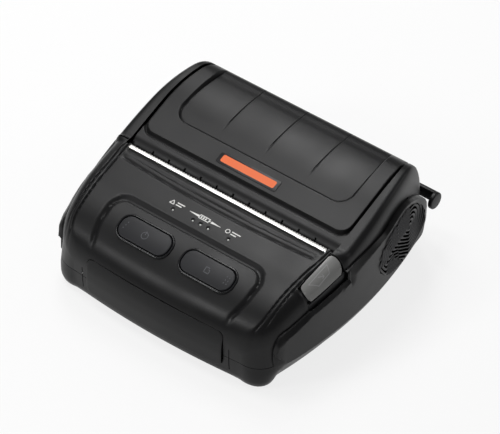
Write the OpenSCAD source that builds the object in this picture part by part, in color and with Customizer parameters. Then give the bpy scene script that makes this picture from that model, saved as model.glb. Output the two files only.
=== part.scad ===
// Portable label printer for 112 mm wide rolls.
// X runs across the printer, Y from the user's side to the hinge side, Z up.
// The origin is under the middle of the whole object, on the surface that it stands on.

/* [Body] */
// Half width of the case at its widest place
case_half_w = 70.8; // [69:0.1:73]
// Thickness of the side guards outside the case
guard_t = 2.8; // [2:0.1:3.2]
// Place of the front face
front_y = -71; // [-73:0.5:-71]
// Place of the rear wall
rear_y = 66.5; // [66:0.5:68]
// Radius of the long arc of each side, seen from above
side_r = 228; // [220:1:300]
// Radius of the shallow bow of the front face
front_r = 520; // [480:10:800]
// Radius of the front corners, seen from above
front_corner_r = 17; // [15:0.5:18]
// Radius of the rear corners, seen from above
rear_corner_r = 14; // [12:0.5:15]
// Wall thickness of the mouldings
wall = 2.2; // [1.8:0.1:2.4]
// Height of the underside above the table
base_z = 1.2; // [1:0.1:1.5]
// Height of the joint between lower and upper case
part_z = 14; // [13.5:0.1:14.5]

/* [Outline from the side] */
// Height of the paper slot
slot_z = 50.5; // [50.3:0.1:50.7]
// Radius where the front face turns into the console
belly_r = 20; // [19:0.5:21]
// Radius of the curved part of the console
console_r = 67; // [65:1:69]
// Fall of the console towards the buttons, in degrees
console_slope = 8; // [7.5:0.1:8.5]
// Rise of the cover behind the slot, in degrees
cover_slope = 17.7; // [17.4:0.1:18]
// Radius of the crest of the cover
crest_r = 90; // [88:1:92]
// Radius where the cover turns down at the rear
rear_top_r = 14; // [13.5:0.1:14.5]

/* [Paper path] */
// Width of the tear bar
tear_w = 118; // [116:0.5:118]
// Front edge of the cover, just behind the slot
lip_y = -10; // [-10.2:0.1:-9.8]
// Width of the paper slot from the tear bar to the cover
slot_gap = 2.8; // [2.7:0.1:2.9]
// Gap between the cover and the shoulders
cover_gap = 0.5; // [0.5:0.05:0.6]
// Radius of the rubber platen roller
platen_r = 5; // [4.8:0.1:5]
// Half length of the platen roller
platen_half_w = 56; // [55:0.5:56]
// Centre of the platen along Y
platen_y = -7; // [-7.1:0.05:-6.9]
// Height of the centre of the platen
platen_z = 41.2; // [41.1:0.05:41.3]
// Centre of the paper roll along Y
roll_y = 24; // [23.8:0.1:24.2]
// Height of the centre of the paper roll
roll_z = 32; // [32:0.1:32.4]
// Inner radius of the media tub
tub_r = 27; // [26.5:0.1:27]

/* [Controls] */
// Place of the two push buttons along Y
button_y = -52.1; // [-53:0.1:-51]
// Distance of each push button from the middle
button_x = 18.9; // [18.5:0.1:19.3]
// Length of the glossy rim round a push button
rim_l = 32.6; // [32:0.1:33]
// Width of the glossy rim round a push button
rim_w = 14.8; // [14.4:0.1:15]
// Travel of the push buttons
button_travel = 0.7; // [0.5:0.1:0.7]
// Travel of the cover release button
release_travel = 2.5; // [2:0.1:2.6]
// Row of status lamps along Y
lamp_y = -34; // [-34.5:0.1:-33.5]

/* [Battery] */
// Half width of the battery pack
pack_half_w = 38.2; // [37:0.1:38.4]
// Half width of the front panel on the pack
panel_half_w = 41; // [40:0.1:41]
// Lower edge of the front panel
panel_bottom = 7.6; // [7.4:0.1:7.8]
// Upper edge of the front panel
panel_top = 30; // [29.5:0.1:30.5]

/* [Hidden] */

platen_c = [platen_y, platen_z];
roll_c = [roll_y, roll_z];
rim_size = [rim_l, rim_w];
panel_z = [panel_bottom, panel_top];
far = 200;
eps = 0.01;
fit = 0.05;

// Points of an arc, from angle a0 to a1 in n steps
function arc(c, r, a0, a1, n) =
    [for (i = [0:n]) let (a = a0 + (a1 - a0) * i / n) c + r * [cos(a), sin(a)]];
function after(p) = [for (i = [1:len(p) - 1]) p[i]];
function angle(v) = atan2(v[1], v[0]);
function mirrored(p) = [for (i = [len(p) - 1:-1:0]) [-p[i][0], p[i][1]]];

// Right hand meeting point of two circles
function meet(c1, r1, c2, r2) =
    let (d = c2 - c1, l = norm(d), a = (r1 * r1 - r2 * r2 + l * l) / (2 * l),
         h = sqrt(r1 * r1 - a * a), u = d / l,
         p = c1 + a * u + h * [u[1], -u[0]], q = c1 + a * u - h * [u[1], -u[0]])
    p[0] > q[0] ? p : q;

// Outline of the case from above, drawn in by g
side_mid_y = -5.5;
side_c = [case_half_w - side_r, side_mid_y];
front_c = [0, front_y + front_r];
rear_r = 700;
rear_c = [0, rear_y - rear_r];
front_k = meet(side_c, side_r - front_corner_r, front_c, front_r - front_corner_r);
rear_k = meet(side_c, side_r - rear_corner_r, rear_c, rear_r - rear_corner_r);
function half_outline(g) =
    let (af = angle(front_k - front_c), as = angle(front_k - side_c),
         bs = angle(rear_k - side_c), br = angle(rear_k - rear_c))
    concat(arc(front_c, front_r - g, -90, af, 4), after(arc(front_k, front_corner_r - g, af, as, 7)),
           after(arc(side_c, side_r - g, as, bs, 14)), after(arc(rear_k, rear_corner_r - g, bs, br, 7)),
           after(arc(rear_c, rear_r - g, br, 90, 3)));
function outline(g) = let (h = half_outline(g), n = len(h))
    concat([for (i = [0:n - 1]) h[i]], [for (p = mirrored([for (i = [1:n - 2]) h[i]])) p]);

module prism(g, z0, z1) {
    translate([0, 0, z0]) linear_extrude(z1 - z0) polygon(outline(g));
}

// Line of the top from the side, drawn in by g
belly_a = 55;
belly_c = [front_y + belly_r, slot_z - 30.64];
belly_end = belly_c + belly_r * [cos(180 - belly_a), sin(180 - belly_a)];
console_c = belly_end - console_r * [cos(180 - belly_a), sin(180 - belly_a)];
console_end = console_c + console_r * [cos(90 + console_slope), sin(90 + console_slope)];
slot_y = lip_y - slot_gap;
rise = tan(cover_slope);
crest_start = [14, slot_z - 0.1 + (14 - lip_y) * rise];
crest_c = crest_start - crest_r * [cos(90 + cover_slope), sin(90 + cover_slope)];
crest_end = crest_c + [0, crest_r];
rear_top_c = crest_end - [0, rear_top_r];
rear_fall = 26.6;
rear_top_end = rear_top_c + rear_top_r * [cos(rear_fall), sin(rear_fall)];
rear_low_r = 20;
rear_low_start_y = rear_y - rear_low_r * (1 - cos(rear_fall));
rear_low_start_z = rear_top_end[1] - (rear_low_start_y - rear_top_end[0]) / tan(rear_fall);
rear_low_c = [rear_y - rear_low_r, rear_low_start_z - rear_low_r * sin(rear_fall)];
function console_z(y) = y < console_end[0]
    ? console_c[1] + sqrt(console_r * console_r - pow(y - console_c[0], 2))
    : console_end[1] + (y - console_end[0]) * tan(console_slope);
function console_tilt(y) = asin((console_c[0] - y) / console_r);
function crown(g) = concat(
    arc(belly_c, belly_r - g, 180, 180 - belly_a, 5),
    after(arc(console_c, console_r - g, 180 - belly_a, 90 + console_slope, 5)),
    [[lip_y - 1.2, console_z(lip_y - 1.2) - g], [lip_y, slot_z - 0.1 - g]],
    arc(crest_c, crest_r - g, 90 + cover_slope, 90, 4),
    after(arc(rear_top_c, rear_top_r - g, 90, rear_fall, 5)),
    arc(rear_low_c, rear_low_r - g, rear_fall, 0, 3));

// Half width of the case, and of the seam beside the cover, at a place y
function edge_x(y) = side_c[0] + sqrt(side_r * side_r - pow(y - side_mid_y, 2));
seam_x = 62.5;
shoulder_w = case_half_w - seam_x;
function seam_at(y) = y < side_mid_y ? edge_x(y) - shoulder_w
    : seam_x - 2.5 * pow(max(0, y - 14) / 33, 2);

// Cross section of a shoulder: share of its width outwards, and how far down
shoulder = [[0, 0], [0.42, 1.0], [0.75, 3.4], [0.94, 7.2], [1, 12.5], [1.11, 75]];

// Everything under the top line, with rounded shoulders, drawn in by g
module under_crown(g) {
    line = crown(g);
    rings = [for (p = line) let (x = seam_at(p[0]), w = edge_x(p[0]) - x,
        side = [for (s = shoulder) [x + w * s[0] - g, p[1] - s[1]]]) concat(side, mirrored(side))];
    n = len(line);
    k = 2 * len(shoulder);
    polyhedron([for (i = [0:n - 1]) for (q = rings[i]) [q[0], line[i][0], q[1]]],
        concat([for (i = [0:n - 2]) for (j = [0:k - 1]) let (m = (j + 1) % k)
                [i * k + j, (i + 1) * k + j, (i + 1) * k + m, i * k + m]],
            [[for (j = [0:k - 1]) j]],
            [[for (j = [k - 1:-1:0]) (n - 1) * k + j]]));
}
module case_space(g, z0, z1) {
    intersection() {
        under_crown(g);
        prism(g, z0, z1);
    }
}

// Plan of the cover, with its edge g inside the seam
module cover_plan(g, z0, z1) {
    edge = [for (y = [slot_y - 2, 14, 22, 30, 38, 46, 54, 60, 75]) [seam_at(y) - g, y]];
    translate([0, 0, z0]) linear_extrude(z1 - z0) polygon(concat(edge, mirrored(edge)));
}

// Small helpers for pieces that lie along an axis
module box(a, b) {
    translate(a) cube(b - a);
}
module both() {
    children();
    mirror([1, 0, 0]) children();
}
module along_x(x0, x1, c = [0, 0]) {
    translate([x0, c[0], c[1]]) rotate([90, 0, 90]) linear_extrude(x1 - x0) children();
}
module rod_x(r, x0, x1, c) {
    along_x(x0, x1, c) circle(r, $fn = 48);
}
module rounded(size, r) {
    w = size[0] / 2 - r;
    h = size[1] / 2 - r;
    polygon(concat(arc([w, h], r, 0, 90, 7), arc([-w, h], r, 90, 180, 7),
                   arc([-w, -h], r, 180, 270, 7), arc([w, -h], r, 270, 360, 7)));
}

// Sweep of a round wire along points, for springs
function tangent(p, i) = let (d = p[min(i + 1, len(p) - 1)] - p[max(i - 1, 0)]) d / norm(d);
module wire(p, r, sides = 6) {
    n = len(p);
    rings = [for (i = [0:n - 1]) let (t = tangent(p, i), a = cross(t, [1, 0.013, 0.02]),
        u = a / norm(a), v = cross(t, u)) for (j = [0:sides - 1])
        p[i] + r * (cos(360 * j / sides) * u + sin(360 * j / sides) * v)];
    polyhedron(rings, concat(
        [for (i = [0:n - 2]) for (j = [0:sides - 1]) let (m = (j + 1) % sides)
            [i * sides + j, (i + 1) * sides + j, (i + 1) * sides + m, i * sides + m]],
        [[for (j = [0:sides - 1]) j]],
        [[for (j = [sides - 1:-1:0]) (n - 1) * sides + j]]));
}
function coil_z(r, h, turns, steps = 8) = let (n = turns * steps)
    [for (i = [0:n]) let (a = 360 * i / steps) [r * cos(a), r * sin(a), h * i / n]];

// Involute gear, tooth centred on the angle phase
gear_module = 0.8;
pressure = 20;
function inv(a) = tan(a) * 180 / PI - a;
module gear_2d(teeth, m, phase, play = 0.06) {
    r = teeth * m / 2;
    base = r * cos(pressure);
    root = r - 1.25 * m;
    start = max(base, root);
    tip = r + 0.95 * m;
    function half(q) = 90 / teeth - play / r * 180 / PI + inv(pressure)
        - inv(acos(min(1, base / q)));
    polygon([for (i = [0:teeth - 1]) let (c = phase + 360 * i / teeth) each concat(
        [root * [cos(c - half(start)), sin(c - half(start))]],
        [for (s = [0:4]) let (q = start + (tip - start) * s / 4, a = c - half(q))
            q * [cos(a), sin(a)]],
        [for (s = [4:-1:0]) let (q = start + (tip - start) * s / 4, a = c + half(q))
            q * [cos(a), sin(a)]],
        [root * [cos(c + half(start)), sin(c + half(start))]])]);
}

// Gear train at the left end of the platen
platen_teeth = 14;
idler_teeth = 24;
motor_teeth = 10;
idler_dir = 220.7;
motor_dir = 196.3;
mesh_gap = 0.06;
gear_x = [-62, -60.2];
function reach(a, b) = gear_module * (a + b) / 2 + mesh_gap;
idler_c = platen_c + reach(platen_teeth, idler_teeth) * [cos(idler_dir), sin(idler_dir)];
motor_c = idler_c + reach(idler_teeth, motor_teeth) * [cos(motor_dir), sin(motor_dir)];
idler_phase = idler_dir + 180 + 180 / idler_teeth;
motor_phase = motor_dir + 180 + 180 / motor_teeth
    - (idler_phase - motor_dir) * idler_teeth / motor_teeth;
motor_r = 9.5;

// Cover hinge
hinge_c = [57, 42.5];
hinge_pin_r = 1.5;
knuckle_r = 3;
knuckle_x = [49, 57.4];
cover_foot_z = 41.2;
rear_wall_z = 39.6;

// Latch that holds the platen bushes
latch_c = [-14.5, 28];
latch_r = 2;
hook_x = [57, 58.4];
lever_x = [65.2, 67.2];
bush_r = 4;
bush_bore = 2.05;
journal_r = 2;

// Release button
release_x = [61.7, 70.3];
release_y = [-39.2, -14.6];
release_z = 35;
release_gap = 0.3;
stem_y = [-26.5, -24.5];
stem_z = 34.2;
release_spring_c = [64.2, -33];
spring_seat_z = 29.5;

// Battery
pack_y = [-69.6, -24.5];
pack_z = [7.8, 26.2];
bay_gap = 0.4;
bay_t = 1.4;

// Screws from below, at the four corners
screw_xy = [[52, -57], [50.5, 56.2]];
screw_r = 1.2;
screw_bore = 1.25;

module screw_places() {
    both() for (p = screw_xy) translate(p) children();
}

// Frame of a push button: local Z stands square to the console
button_z = console_z(button_y);
button_tilt = console_tilt(button_y);
module at_button(x) {
    translate([x, button_y, button_z]) rotate([button_tilt, 0, 0]) children();
}
module at_buttons() {
    for (x = [-button_x, button_x]) at_button(x) children();
}
cap_size = rim_size - [3.2, 3.2];
hole_size = rim_size - [2.0, 2.0];
lamp_x = [-16.7, -4.6, 0, 4.6, 16.7];
lamp_r = 0.85;

// Lower tray of the case
module lower_case() color("#2e2e30") difference() {
    union() {
        difference() {
            union() {
                intersection() {
                    prism(0, base_z, part_z);
                    hull() {
                        scale([0.967, 1, 1]) prism(3.2, base_z, base_z + 0.1);
                        scale([0.967, 1, 1]) prism(0.2, 5, 5.1);
                        prism(0, 10.5, part_z + 5);
                    }
                }
                both() intersection() {
                    hull() {
                        prism(1, base_z - 0.8, base_z);
                        prism(0, base_z + 0.4, 12);
                    }
                    linear_extrude(12)
                        polygon([[46, -80], [66, -80], [60, -59], [54, -56], [46, -56]]);
                    difference() {
                        box([40, -80, 0], [80, -50, 20]);
                        translate([44, -60, -1]) cylinder(r = 5.6, h = base_z + 1.05, $fn = 48);
                    }
                }
            }
            difference() {
                hull() {
                    scale([0.95, 1, 1]) prism(wall, base_z + wall, base_z + wall + 0.1);
                    prism(wall, 11.5, part_z + 1);
                }
                screw_places() cylinder(r = 3.6, h = part_z, $fn = 32);
            }
        }
        both() box([20, -60, base_z + 1], [24, -30, pack_z[0] - 0.2]);
        translate([0, guide_y, base_z + 1]) cylinder(r = 2, h = 5.2, $fn = 32);
    }
    box([-panel_half_w - 0.3, -90, panel_z[0] - 0.3], [panel_half_w + 0.3, -60, part_z + 1]);
    screw_places() {
        translate([0, 0, -1]) cylinder(r = 1.7, h = 30, $fn = 32);
        translate([0, 0, -1]) cylinder(r = 3, h = 5.6, $fn = 32);
    }
}

// Openings of the upper case
module cover_hole() {
    intersection() {
        cover_plan(0, rear_wall_z, far);
        box([-far, lip_y - 1.2, 0], [far, far, far]);
    }
    box([-60.4, slot_y, 40], [60.4, lip_y, far]);
    both() box([60, slot_y - 0.9, 40], [62.4, lip_y, far]);
    rod_x(4.3, -knuckle_x[1] - 1.2, knuckle_x[1] + 1.2, hinge_c);
}
module release_hole() {
    box([release_x[0] - release_gap, release_y[0] - release_gap, release_z - release_travel - 0.2],
        [far, release_y[1] + release_gap, far]);
}

// Upper case: console, shoulders and rear wall
module upper_case() color("#303032") difference() {
    union() {
        difference() {
            case_space(0, part_z, far);
            case_space(wall, part_z - 1, far);
        }
        intersection() {
            case_space(1, part_z, far);
            union() {
                intersection() {
                    difference() {
                        cover_plan(-1.8, 38.2, far);
                        cover_plan(0, 31, far);
                    }
                    box([-far, lip_y - 1.2, 0], [far, far, far]);
                }
                box([release_x[0] - 2.1, release_y[0] - 2, 31],
                    [release_x[0] - 0.3, release_y[1] + 2, far]);
                box([61, -36.5, spring_seat_z - 1.6], [72, -29.5, spring_seat_z]);
                both() for (i = [0, 1]) translate([screw_xy[i][0], screw_xy[i][1], part_z])
                    cylinder(r = 3.4, h = i == 0 ? 30 : 10.5, $fn = 32);
                both() box([49.7, 56, part_z], [51.3, 65.5, 24]);
            }
        }
    }
    cover_hole();
    release_hole();
    box([-59.3, slot_y - 2.7, slot_z - 1.3], [59.3, slot_y + 1, far]);
    translate([0, -60, (panel_z[0] + panel_z[1]) / 2]) rotate([90, 0, 0])
        linear_extrude(30) rounded([2 * panel_half_w + 0.6, panel_z[1] - panel_z[0] + 0.6], 3.3);
    at_buttons() translate([0, 0, -6]) linear_extrude(12) rounded(hole_size, 5.5);
    for (x = lamp_x) translate([x, lamp_y, 40]) cylinder(r = lamp_r + 0.05, h = 20, $fn = 24);
    both() rod_x(hinge_pin_r, 50, 59.9, hinge_c);
    screw_places() translate([0, 0, part_z - 1]) cylinder(r = screw_bore, h = 11, $fn = 24);
    box([-80, -6.8, 17], [-66, 2.4, 22]);
    box([-80, 4.2, 15.6], [-66, 11.6, 24]);
}

// Side guards, with the top edge that rises along the case
guard_line = [[-58.8, 12.6], [-60.2, 15.5], [-60.4, 22.5], [-59.4, 27], [-56.6, 30.6],
    [-51.5, 32.4], [-39.8, 35.8], [-11.3, 43.8], [-3, 45], [16, 46.2], [26.4, 48.6], [34.3, 48.4],
    [43.1, 45.2], [50, 40.6], [55, 35.2], [58.5, 28], [59.4, 20], [57.5, 12.8], [51, 9.8], [-50, 9.8],
    [-56, 10.6]];
module guard() {
    mid = [2, 22];
    intersection() {
        difference() {
            case_space(-guard_t, 5, 60);
            case_space(0, -1, 70);
        }
        hull() {
            along_x(case_half_w - 14, case_half_w - 0.6) polygon(guard_line);
            along_x(case_half_w - 0.6, case_half_w + guard_t + 1) polygon([for (q = guard_line)
                [mid[0] + (q[0] - mid[0]) * 0.93, mid[1] + (q[1] - mid[1]) * 0.74]]);
        }
    }
}
module guard_right() color("#2b2b2d") difference() {
    guard();
    along_x(60, 80) polygon([[release_y[0] - 0.5, 36.1], [release_y[1] + 0.5, 39],
        [release_y[1] + 0.5, 60], [release_y[0] - 0.5, 60]]);
}
module guard_left() color("#2b2b2d") difference() {
    mirror([1, 0, 0]) guard();
    box([-80, -9, flap_z[0] - 0.6], [-60, 14.2, flap_z[1] + 0.5]);
}

// Tub that the paper roll lies in
tub_t = 1.6;
cheek_x = [57.6, 59.2];
module media_tub() color("#3a3a3c") difference() {
    union() {
        rod_x(tub_r + tub_t, -cheek_x[1], cheek_x[1], roll_c);
    }
    rod_x(tub_r, -cheek_x[0], cheek_x[0], roll_c);
    box([-70, -30, 38], [70, 70, 80]);
    box([-70, -30, 30], [70, 1, 80]);
    both() rod_x(11, 50, 70, roll_c);
}

// Serrated steel edge in front of the slot
tooth_pitch = 1.5;
tooth_depth = 0.7;
module tear_bar() color("#e6e6e2") {
    front = slot_y - 2.6;
    n = floor(tear_w / tooth_pitch) - 1;
    x0 = -n * tooth_pitch / 2;
    translate([0, 0, slot_z - 1.2]) linear_extrude(1.3) polygon(concat(
        [[-tear_w / 2, slot_y - tooth_depth], [-tear_w / 2, front], [tear_w / 2, front],
         [tear_w / 2, slot_y - tooth_depth]],
        [for (i = [n:-1:0]) each [[x0 + (i + 0.35) * tooth_pitch, slot_y - tooth_depth],
            [x0 + i * tooth_pitch, slot_y], [x0 + (i - 0.35) * tooth_pitch, slot_y - tooth_depth]]]));
}

// Sheet steel frame that carries the print head and the latch
module print_frame() color("#9a9ca0") difference() {
    union() {
        box([-56.4, -21.5, base_z + wall], [56.4, -20.3, 45]);
        both() along_x(55.2, 56.4) polygon([[-21, base_z + wall], [-12.6, base_z + wall], [-10.8, 24],
            [-10.8, 31], [-13, 34], [-17.2, 34], [-17.2, 45], [-21, 45]]);
    }
    both() rod_x(latch_r + fit, 50, 60, latch_c);
    both() for (x = [18, 40]) box([x - 3, -25, 12], [x + 3, -18, 24]);
}

// Steel plate that carries the motor and the idler stud
bracket_x = [-59.8, -58.8];
stud_r = 1.5;
module gear_bracket() color("#a3a5a8") difference() {
    union() {
        along_x(bracket_x[0], bracket_x[1]) polygon([[-43, base_z + wall], [-15, base_z + wall],
            [-15, 22], [-14.6, 36], [-20, 38.5], [-43, 38.5]]);
        rod_x(stud_r, gear_x[0] - 0.4, bracket_x[1], idler_c);
        box([bracket_x[1] - 0.4, -43, base_z + wall], [-54, -36, base_z + wall + 1.2]);
    }
    rod_x(1.4, -70, -50, motor_c);
}

// Thermal head: ceramic strip on an aluminium heat sink, pushed to the platen by springs
head_y = platen_c[0] - platen_r - 0.15;
module print_head() color("#d8d4c4") {
    box([-54, head_y - 1, 35], [54, head_y, 47.2]);
    box([-50, head_y, 42.6], [50, head_y + 0.08, 43.4]);
}
module head_heatsink() color("#b9bcc0") {
    box([-54.6, head_y - 3.4, 33], [54.6, head_y - 1, 47.4]);
    for (z = [34.2, 38.6, 43]) box([-52, head_y - 4.6, z], [52, head_y - 3.3, z + 1.6]);
}
spring_x = [-36, 0, 36];
module head_springs() color("#8d9094") for (x = spring_x)
    translate([x, -20, 40.9]) rotate([-90, 0, 0]) wire(coil_z(1.9, 2.95, 3), 0.28);
module head_ribbon() color("#c98f4a") along_x(-14, 14) polygon([[head_y - 3.5, 32.9], [-19.8, 32.9],
    [-19.8, 32.6], [head_y - 3.2, 32.6], [head_y - 3.2, 33], [head_y - 3.5, 33]]);

// Stepper motor and gear train
module motor() color("#85888c") {
    rod_x(motor_r, -57, -42, motor_c);
    rod_x(3.2, -58.8, -57, motor_c);
    along_x(-58.8, -57.8) hull() {
        translate(motor_c + [-11, -6]) circle(2.4, $fn = 24);
        translate(motor_c + [6.6, 7]) circle(2.4, $fn = 24);
    }
}
module motor_pinion() color("#c2a35a") {
    along_x(gear_x[0], gear_x[1], motor_c) gear_2d(motor_teeth, gear_module, motor_phase);
    rod_x(1, gear_x[1] - eps, bracket_x[1] - 0.2, motor_c);
}
module idler_gear() color("#d9d6cc") difference() {
    along_x(gear_x[0], gear_x[1], idler_c) gear_2d(idler_teeth, gear_module, idler_phase);
    rod_x(stud_r + fit, -70, -50, idler_c);
}

// Platen: steel shaft, rubber sleeve and drive gear
core_r = 3;
module platen_shaft() color("#b4b6b9") {
    rod_x(core_r, -platen_half_w, platen_half_w, platen_c);
    rod_x(journal_r, gear_x[0], 60.2, platen_c);
}
module platen_roller() color("#1d1d1e") difference() {
    rod_x(platen_r, -platen_half_w, platen_half_w, platen_c);
    rod_x(core_r, -far, far, platen_c);
}
module platen_gear() color("#d9d6cc") difference() {
    along_x(gear_x[0], gear_x[1], platen_c) gear_2d(platen_teeth, gear_module, idler_dir);
    rod_x(journal_r, -far, far, platen_c);
}

// Cover: band at the lip, raised border and sunken panel
step_y = -1.5;
panel_front_y = 9.5;
cover_panel_half_w = 52;
panel_fall = 1.8;
module cover_panel(g) difference() {
    translate([0, 50, 40]) linear_extrude(60)
        rounded([2 * cover_panel_half_w + 2 * g, 100 - 2 * panel_front_y + 2 * g], 8 + g);
    translate([0, panel_front_y, 56.6]) rotate([-panel_fall, 0, 0])
        translate([0, -panel_front_y, -56.6]) under_crown(g > 0 ? 2.6 : 0.8);
    box([-far, 45, -far], [far, far, g > 0 ? 50.4 : 52]);
}
module cover_skin() intersection() {
    under_crown(0);
    cover_plan(cover_gap, cover_foot_z, far);
    box([-far, lip_y, 0], [far, far, far]);
}
module cover_shell() color("#333335") difference() {
    union() {
        difference() {
            cover_skin();
            difference() {
                under_crown(wall);
                cover_panel(1.4);
            }
            box([-far, slot_y, slot_z - 0.2], [far, step_y, far]);
        }
        intersection() {
            difference() {
                under_crown(1);
                under_crown(wall + 0.6);
            }
            cover_plan(cover_gap, 20, far);
            box([-far, lip_y, 20], [far, step_y + 1, far]);
        }
        intersection() {
            under_crown(1);
            difference() {
                cover_plan(cover_gap + 1.2, 30, far);
                cover_plan(cover_gap + 3, 20, far);
            }
            along_x(-far, far) polygon([[2, 47], [46, 47], [51, 55], [40, 70], [2, 70]]);
        }
        both() rod_x(knuckle_r, knuckle_x[0], knuckle_x[1], hinge_c);
    }
    cover_panel(0);
    both() rod_x(hinge_pin_r + fit, 40, 70, hinge_c);
    rod_x(2.4, 43.4, 48.4, hinge_c);
}
module cover_frame() color("#444446") {
    intersection() {
        under_crown(wall + 0.6);
        union() {
            box([-60, -0.6, 44.4], [60, 1.2, 60]);
            both() box([58.8, -9.2, 45.3], [60, 1.2, 60]);
        }
    }
    both() along_x(58.8, 60) difference() {
        union() {
            translate(platen_c) circle(5.4, $fn = 48);
            translate([-8, 42]) square([9.2, 3.5]);
        }
        translate(platen_c) circle(bush_r, $fn = 48);
    }
}
module platen_bushes() color("#c9b27a") both() difference() {
    rod_x(bush_r, 56.3, 60, platen_c);
    rod_x(bush_bore, 50, 70, platen_c);
}
badge_y = 2.8;
module badge_plate() color("#1f1f21")
    translate([0, badge_y, slot_z - 0.1 + (badge_y - lip_y) * rise]) rotate([cover_slope, 0, 0])
        linear_extrude(0.5) rounded([36, 6.4], 1.2);
module hinge_pins() color("#b4b6b9") both() rod_x(hinge_pin_r, knuckle_x[0] - 1, 59.9, hinge_c);
module cover_spring() color("#8d9094") translate([43.8, hinge_c[0], hinge_c[1]]) rotate([0, 90, 0])
    wire(coil_z(1.88, 4, 5), 0.24);

// Release button, its pale face and its return spring
module release_body(g) intersection() {
    case_space(g, 20, far);
    prism(0.4, 20, far);
    box([release_x[0], release_y[0], release_z], [release_x[1], release_y[1], far]);
}
module release_side() along_x(60, 80) polygon([[-45, 30], [0, 30], [0, 45.06], [-45, 38.1]]);
module release_button() color("#232325") {
    release_body(1.4);
    intersection() {
        release_body(0);
        release_side();
    }
    box([lever_x[0], stem_y[0], stem_z], [lever_x[1], stem_y[1], release_z + 1]);
}
module release_face() color("#a8a8a6") difference() {
    intersection() {
        release_body(0);
        box([release_x[0] + 0.3, release_y[0] + 0.3, 20], [far, release_y[1] - 0.3, far]);
    }
    under_crown(1.4);
    release_side();
}
module release_spring() color("#8d9094")
    translate([release_spring_c[0], release_spring_c[1], spring_seat_z + 0.35])
        wire(coil_z(1.7, release_z - spring_seat_z - 0.7, 5), 0.3);

// Latch bar: two hooks over the platen bushes and a lever under the release button
module latch_bar() color("#7f8286") {
    rod_x(latch_r, -hook_x[1], lever_x[1], latch_c);
    both() along_x(hook_x[0], hook_x[1], latch_c) union() {
        circle(3.6, $fn = 32);
        polygon([[-3, 0], [3, 1], [3.3, 8], [3.42, 18], [2.6, 19], [-0.6, 19], [-1.6, 17.6]]);
    }
    along_x(lever_x[0], lever_x[1], latch_c) union() {
        circle(3.6, $fn = 32);
        polygon([[-12.4, 3.6], [-1, -3], [1.4, 2], [-2, 4.6], [-8, 5.4], [-10.6, 6], [-12.4, 6]]);
    }
}

// Push buttons, rims, switches and status lamps
module push_button(x) at_button(x) {
    translate([0, 0, -2.6]) linear_extrude(3.3) rounded(cap_size, 5);
    translate([0, 0, -4.3]) cylinder(r = 1.5, h = 2, $fn = 32);
}
module power_button() color("#3c3c40") push_button(-button_x);
module feed_button() color("#3c3c40") push_button(button_x);
module button_rims() color("#0f0f10") at_buttons() difference() {
    translate([0, 0, -2]) linear_extrude(2.5) rounded(hole_size, 5.5);
    translate([0, 0, -3]) linear_extrude(5) rounded(cap_size + [0.4, 0.4], 5.2);
}
board_top = -7;
module control_board() color("#1f5a3a") at_button(0)
    box([-42, -8, board_top - 1.4], [42, 22, board_top]);
module key_switches() color("#c4c6c8") at_buttons() {
    box([-3, -3, board_top], [3, 3, board_top + 1.2]);
    translate([0, 0, board_top + 1]) cylinder(r = 1.3, h = 0.9, $fn = 24);
}
module lamp_lenses() color("#dfe7ea") for (x = lamp_x) {
    top = console_z(lamp_y) - 0.3;
    translate([x, lamp_y, 44.4]) cylinder(r = lamp_r, h = top - 44.4, $fn = 24);
}

// Main board and what is on it
main_board_z = 28;
module main_board() color("#1f5a3a") {
    box([-36, -60, main_board_z], [48, -25, main_board_z + 1.4]);
    box([-30, -50, main_board_z + 1.4], [-12, -34, main_board_z + 2.8]);
    box([-4, -30, main_board_z + 1.4], [20, -26.5, main_board_z + 4]);
}
module radio_module() color("#b9bcc0") box([30, -52, main_board_z + 1.4], [46, -38, main_board_z + 3.6]);
module buzzer() color("#161617") translate([6, -44, main_board_z + 1.4]) difference() {
    cylinder(r = 5, h = 2.6, $fn = 40);
    translate([0, 0, 1]) cylinder(r = 1, h = 4, $fn = 24);
}

// Battery bay, pack, front panel and contacts
module battery_bay() color("#38383a") {
    x = pack_half_w + bay_gap;
    top = pack_z[1] + bay_gap;
    back = pack_y[1] + bay_gap + bay_t;
    both() box([x, -66, base_z + wall], [x + bay_t, back, main_board_z]);
    box([-x - bay_t, -66, top], [x + bay_t, back, main_board_z]);
    box([-x - bay_t, back - bay_t, base_z + wall], [x + bay_t, back, main_board_z]);
}
module battery_pack() color("#29292b")
    box([-pack_half_w, pack_y[0] + 1, pack_z[0]], [pack_half_w, pack_y[1], pack_z[1]]);
module battery_panel() color("#313133") intersection() {
    difference() {
        intersection() {
            under_crown(-1.2);
            prism(-1.2, 5, 40);
        }
        intersection() {
            under_crown(1.4);
            prism(1.4, 5, 40);
            box([-far, -far, -far], [far, pack_y[0] + 4, 60]);
        }
    }
    translate([0, -60, (panel_z[0] + panel_z[1]) / 2]) rotate([90, 0, 0])
        linear_extrude(30) rounded([2 * panel_half_w, panel_z[1] - panel_z[0]], 3);
    box([-far, -90, 0], [far, pack_y[0] + 1, 60]);
}
module battery_contacts() color("#c9a24b") for (x = [-28, -24, 24, 28])
    box([x - 0.8, pack_y[1] + 0.1, 12], [x + 0.8, pack_y[1] + bay_gap, 20]);

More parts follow.
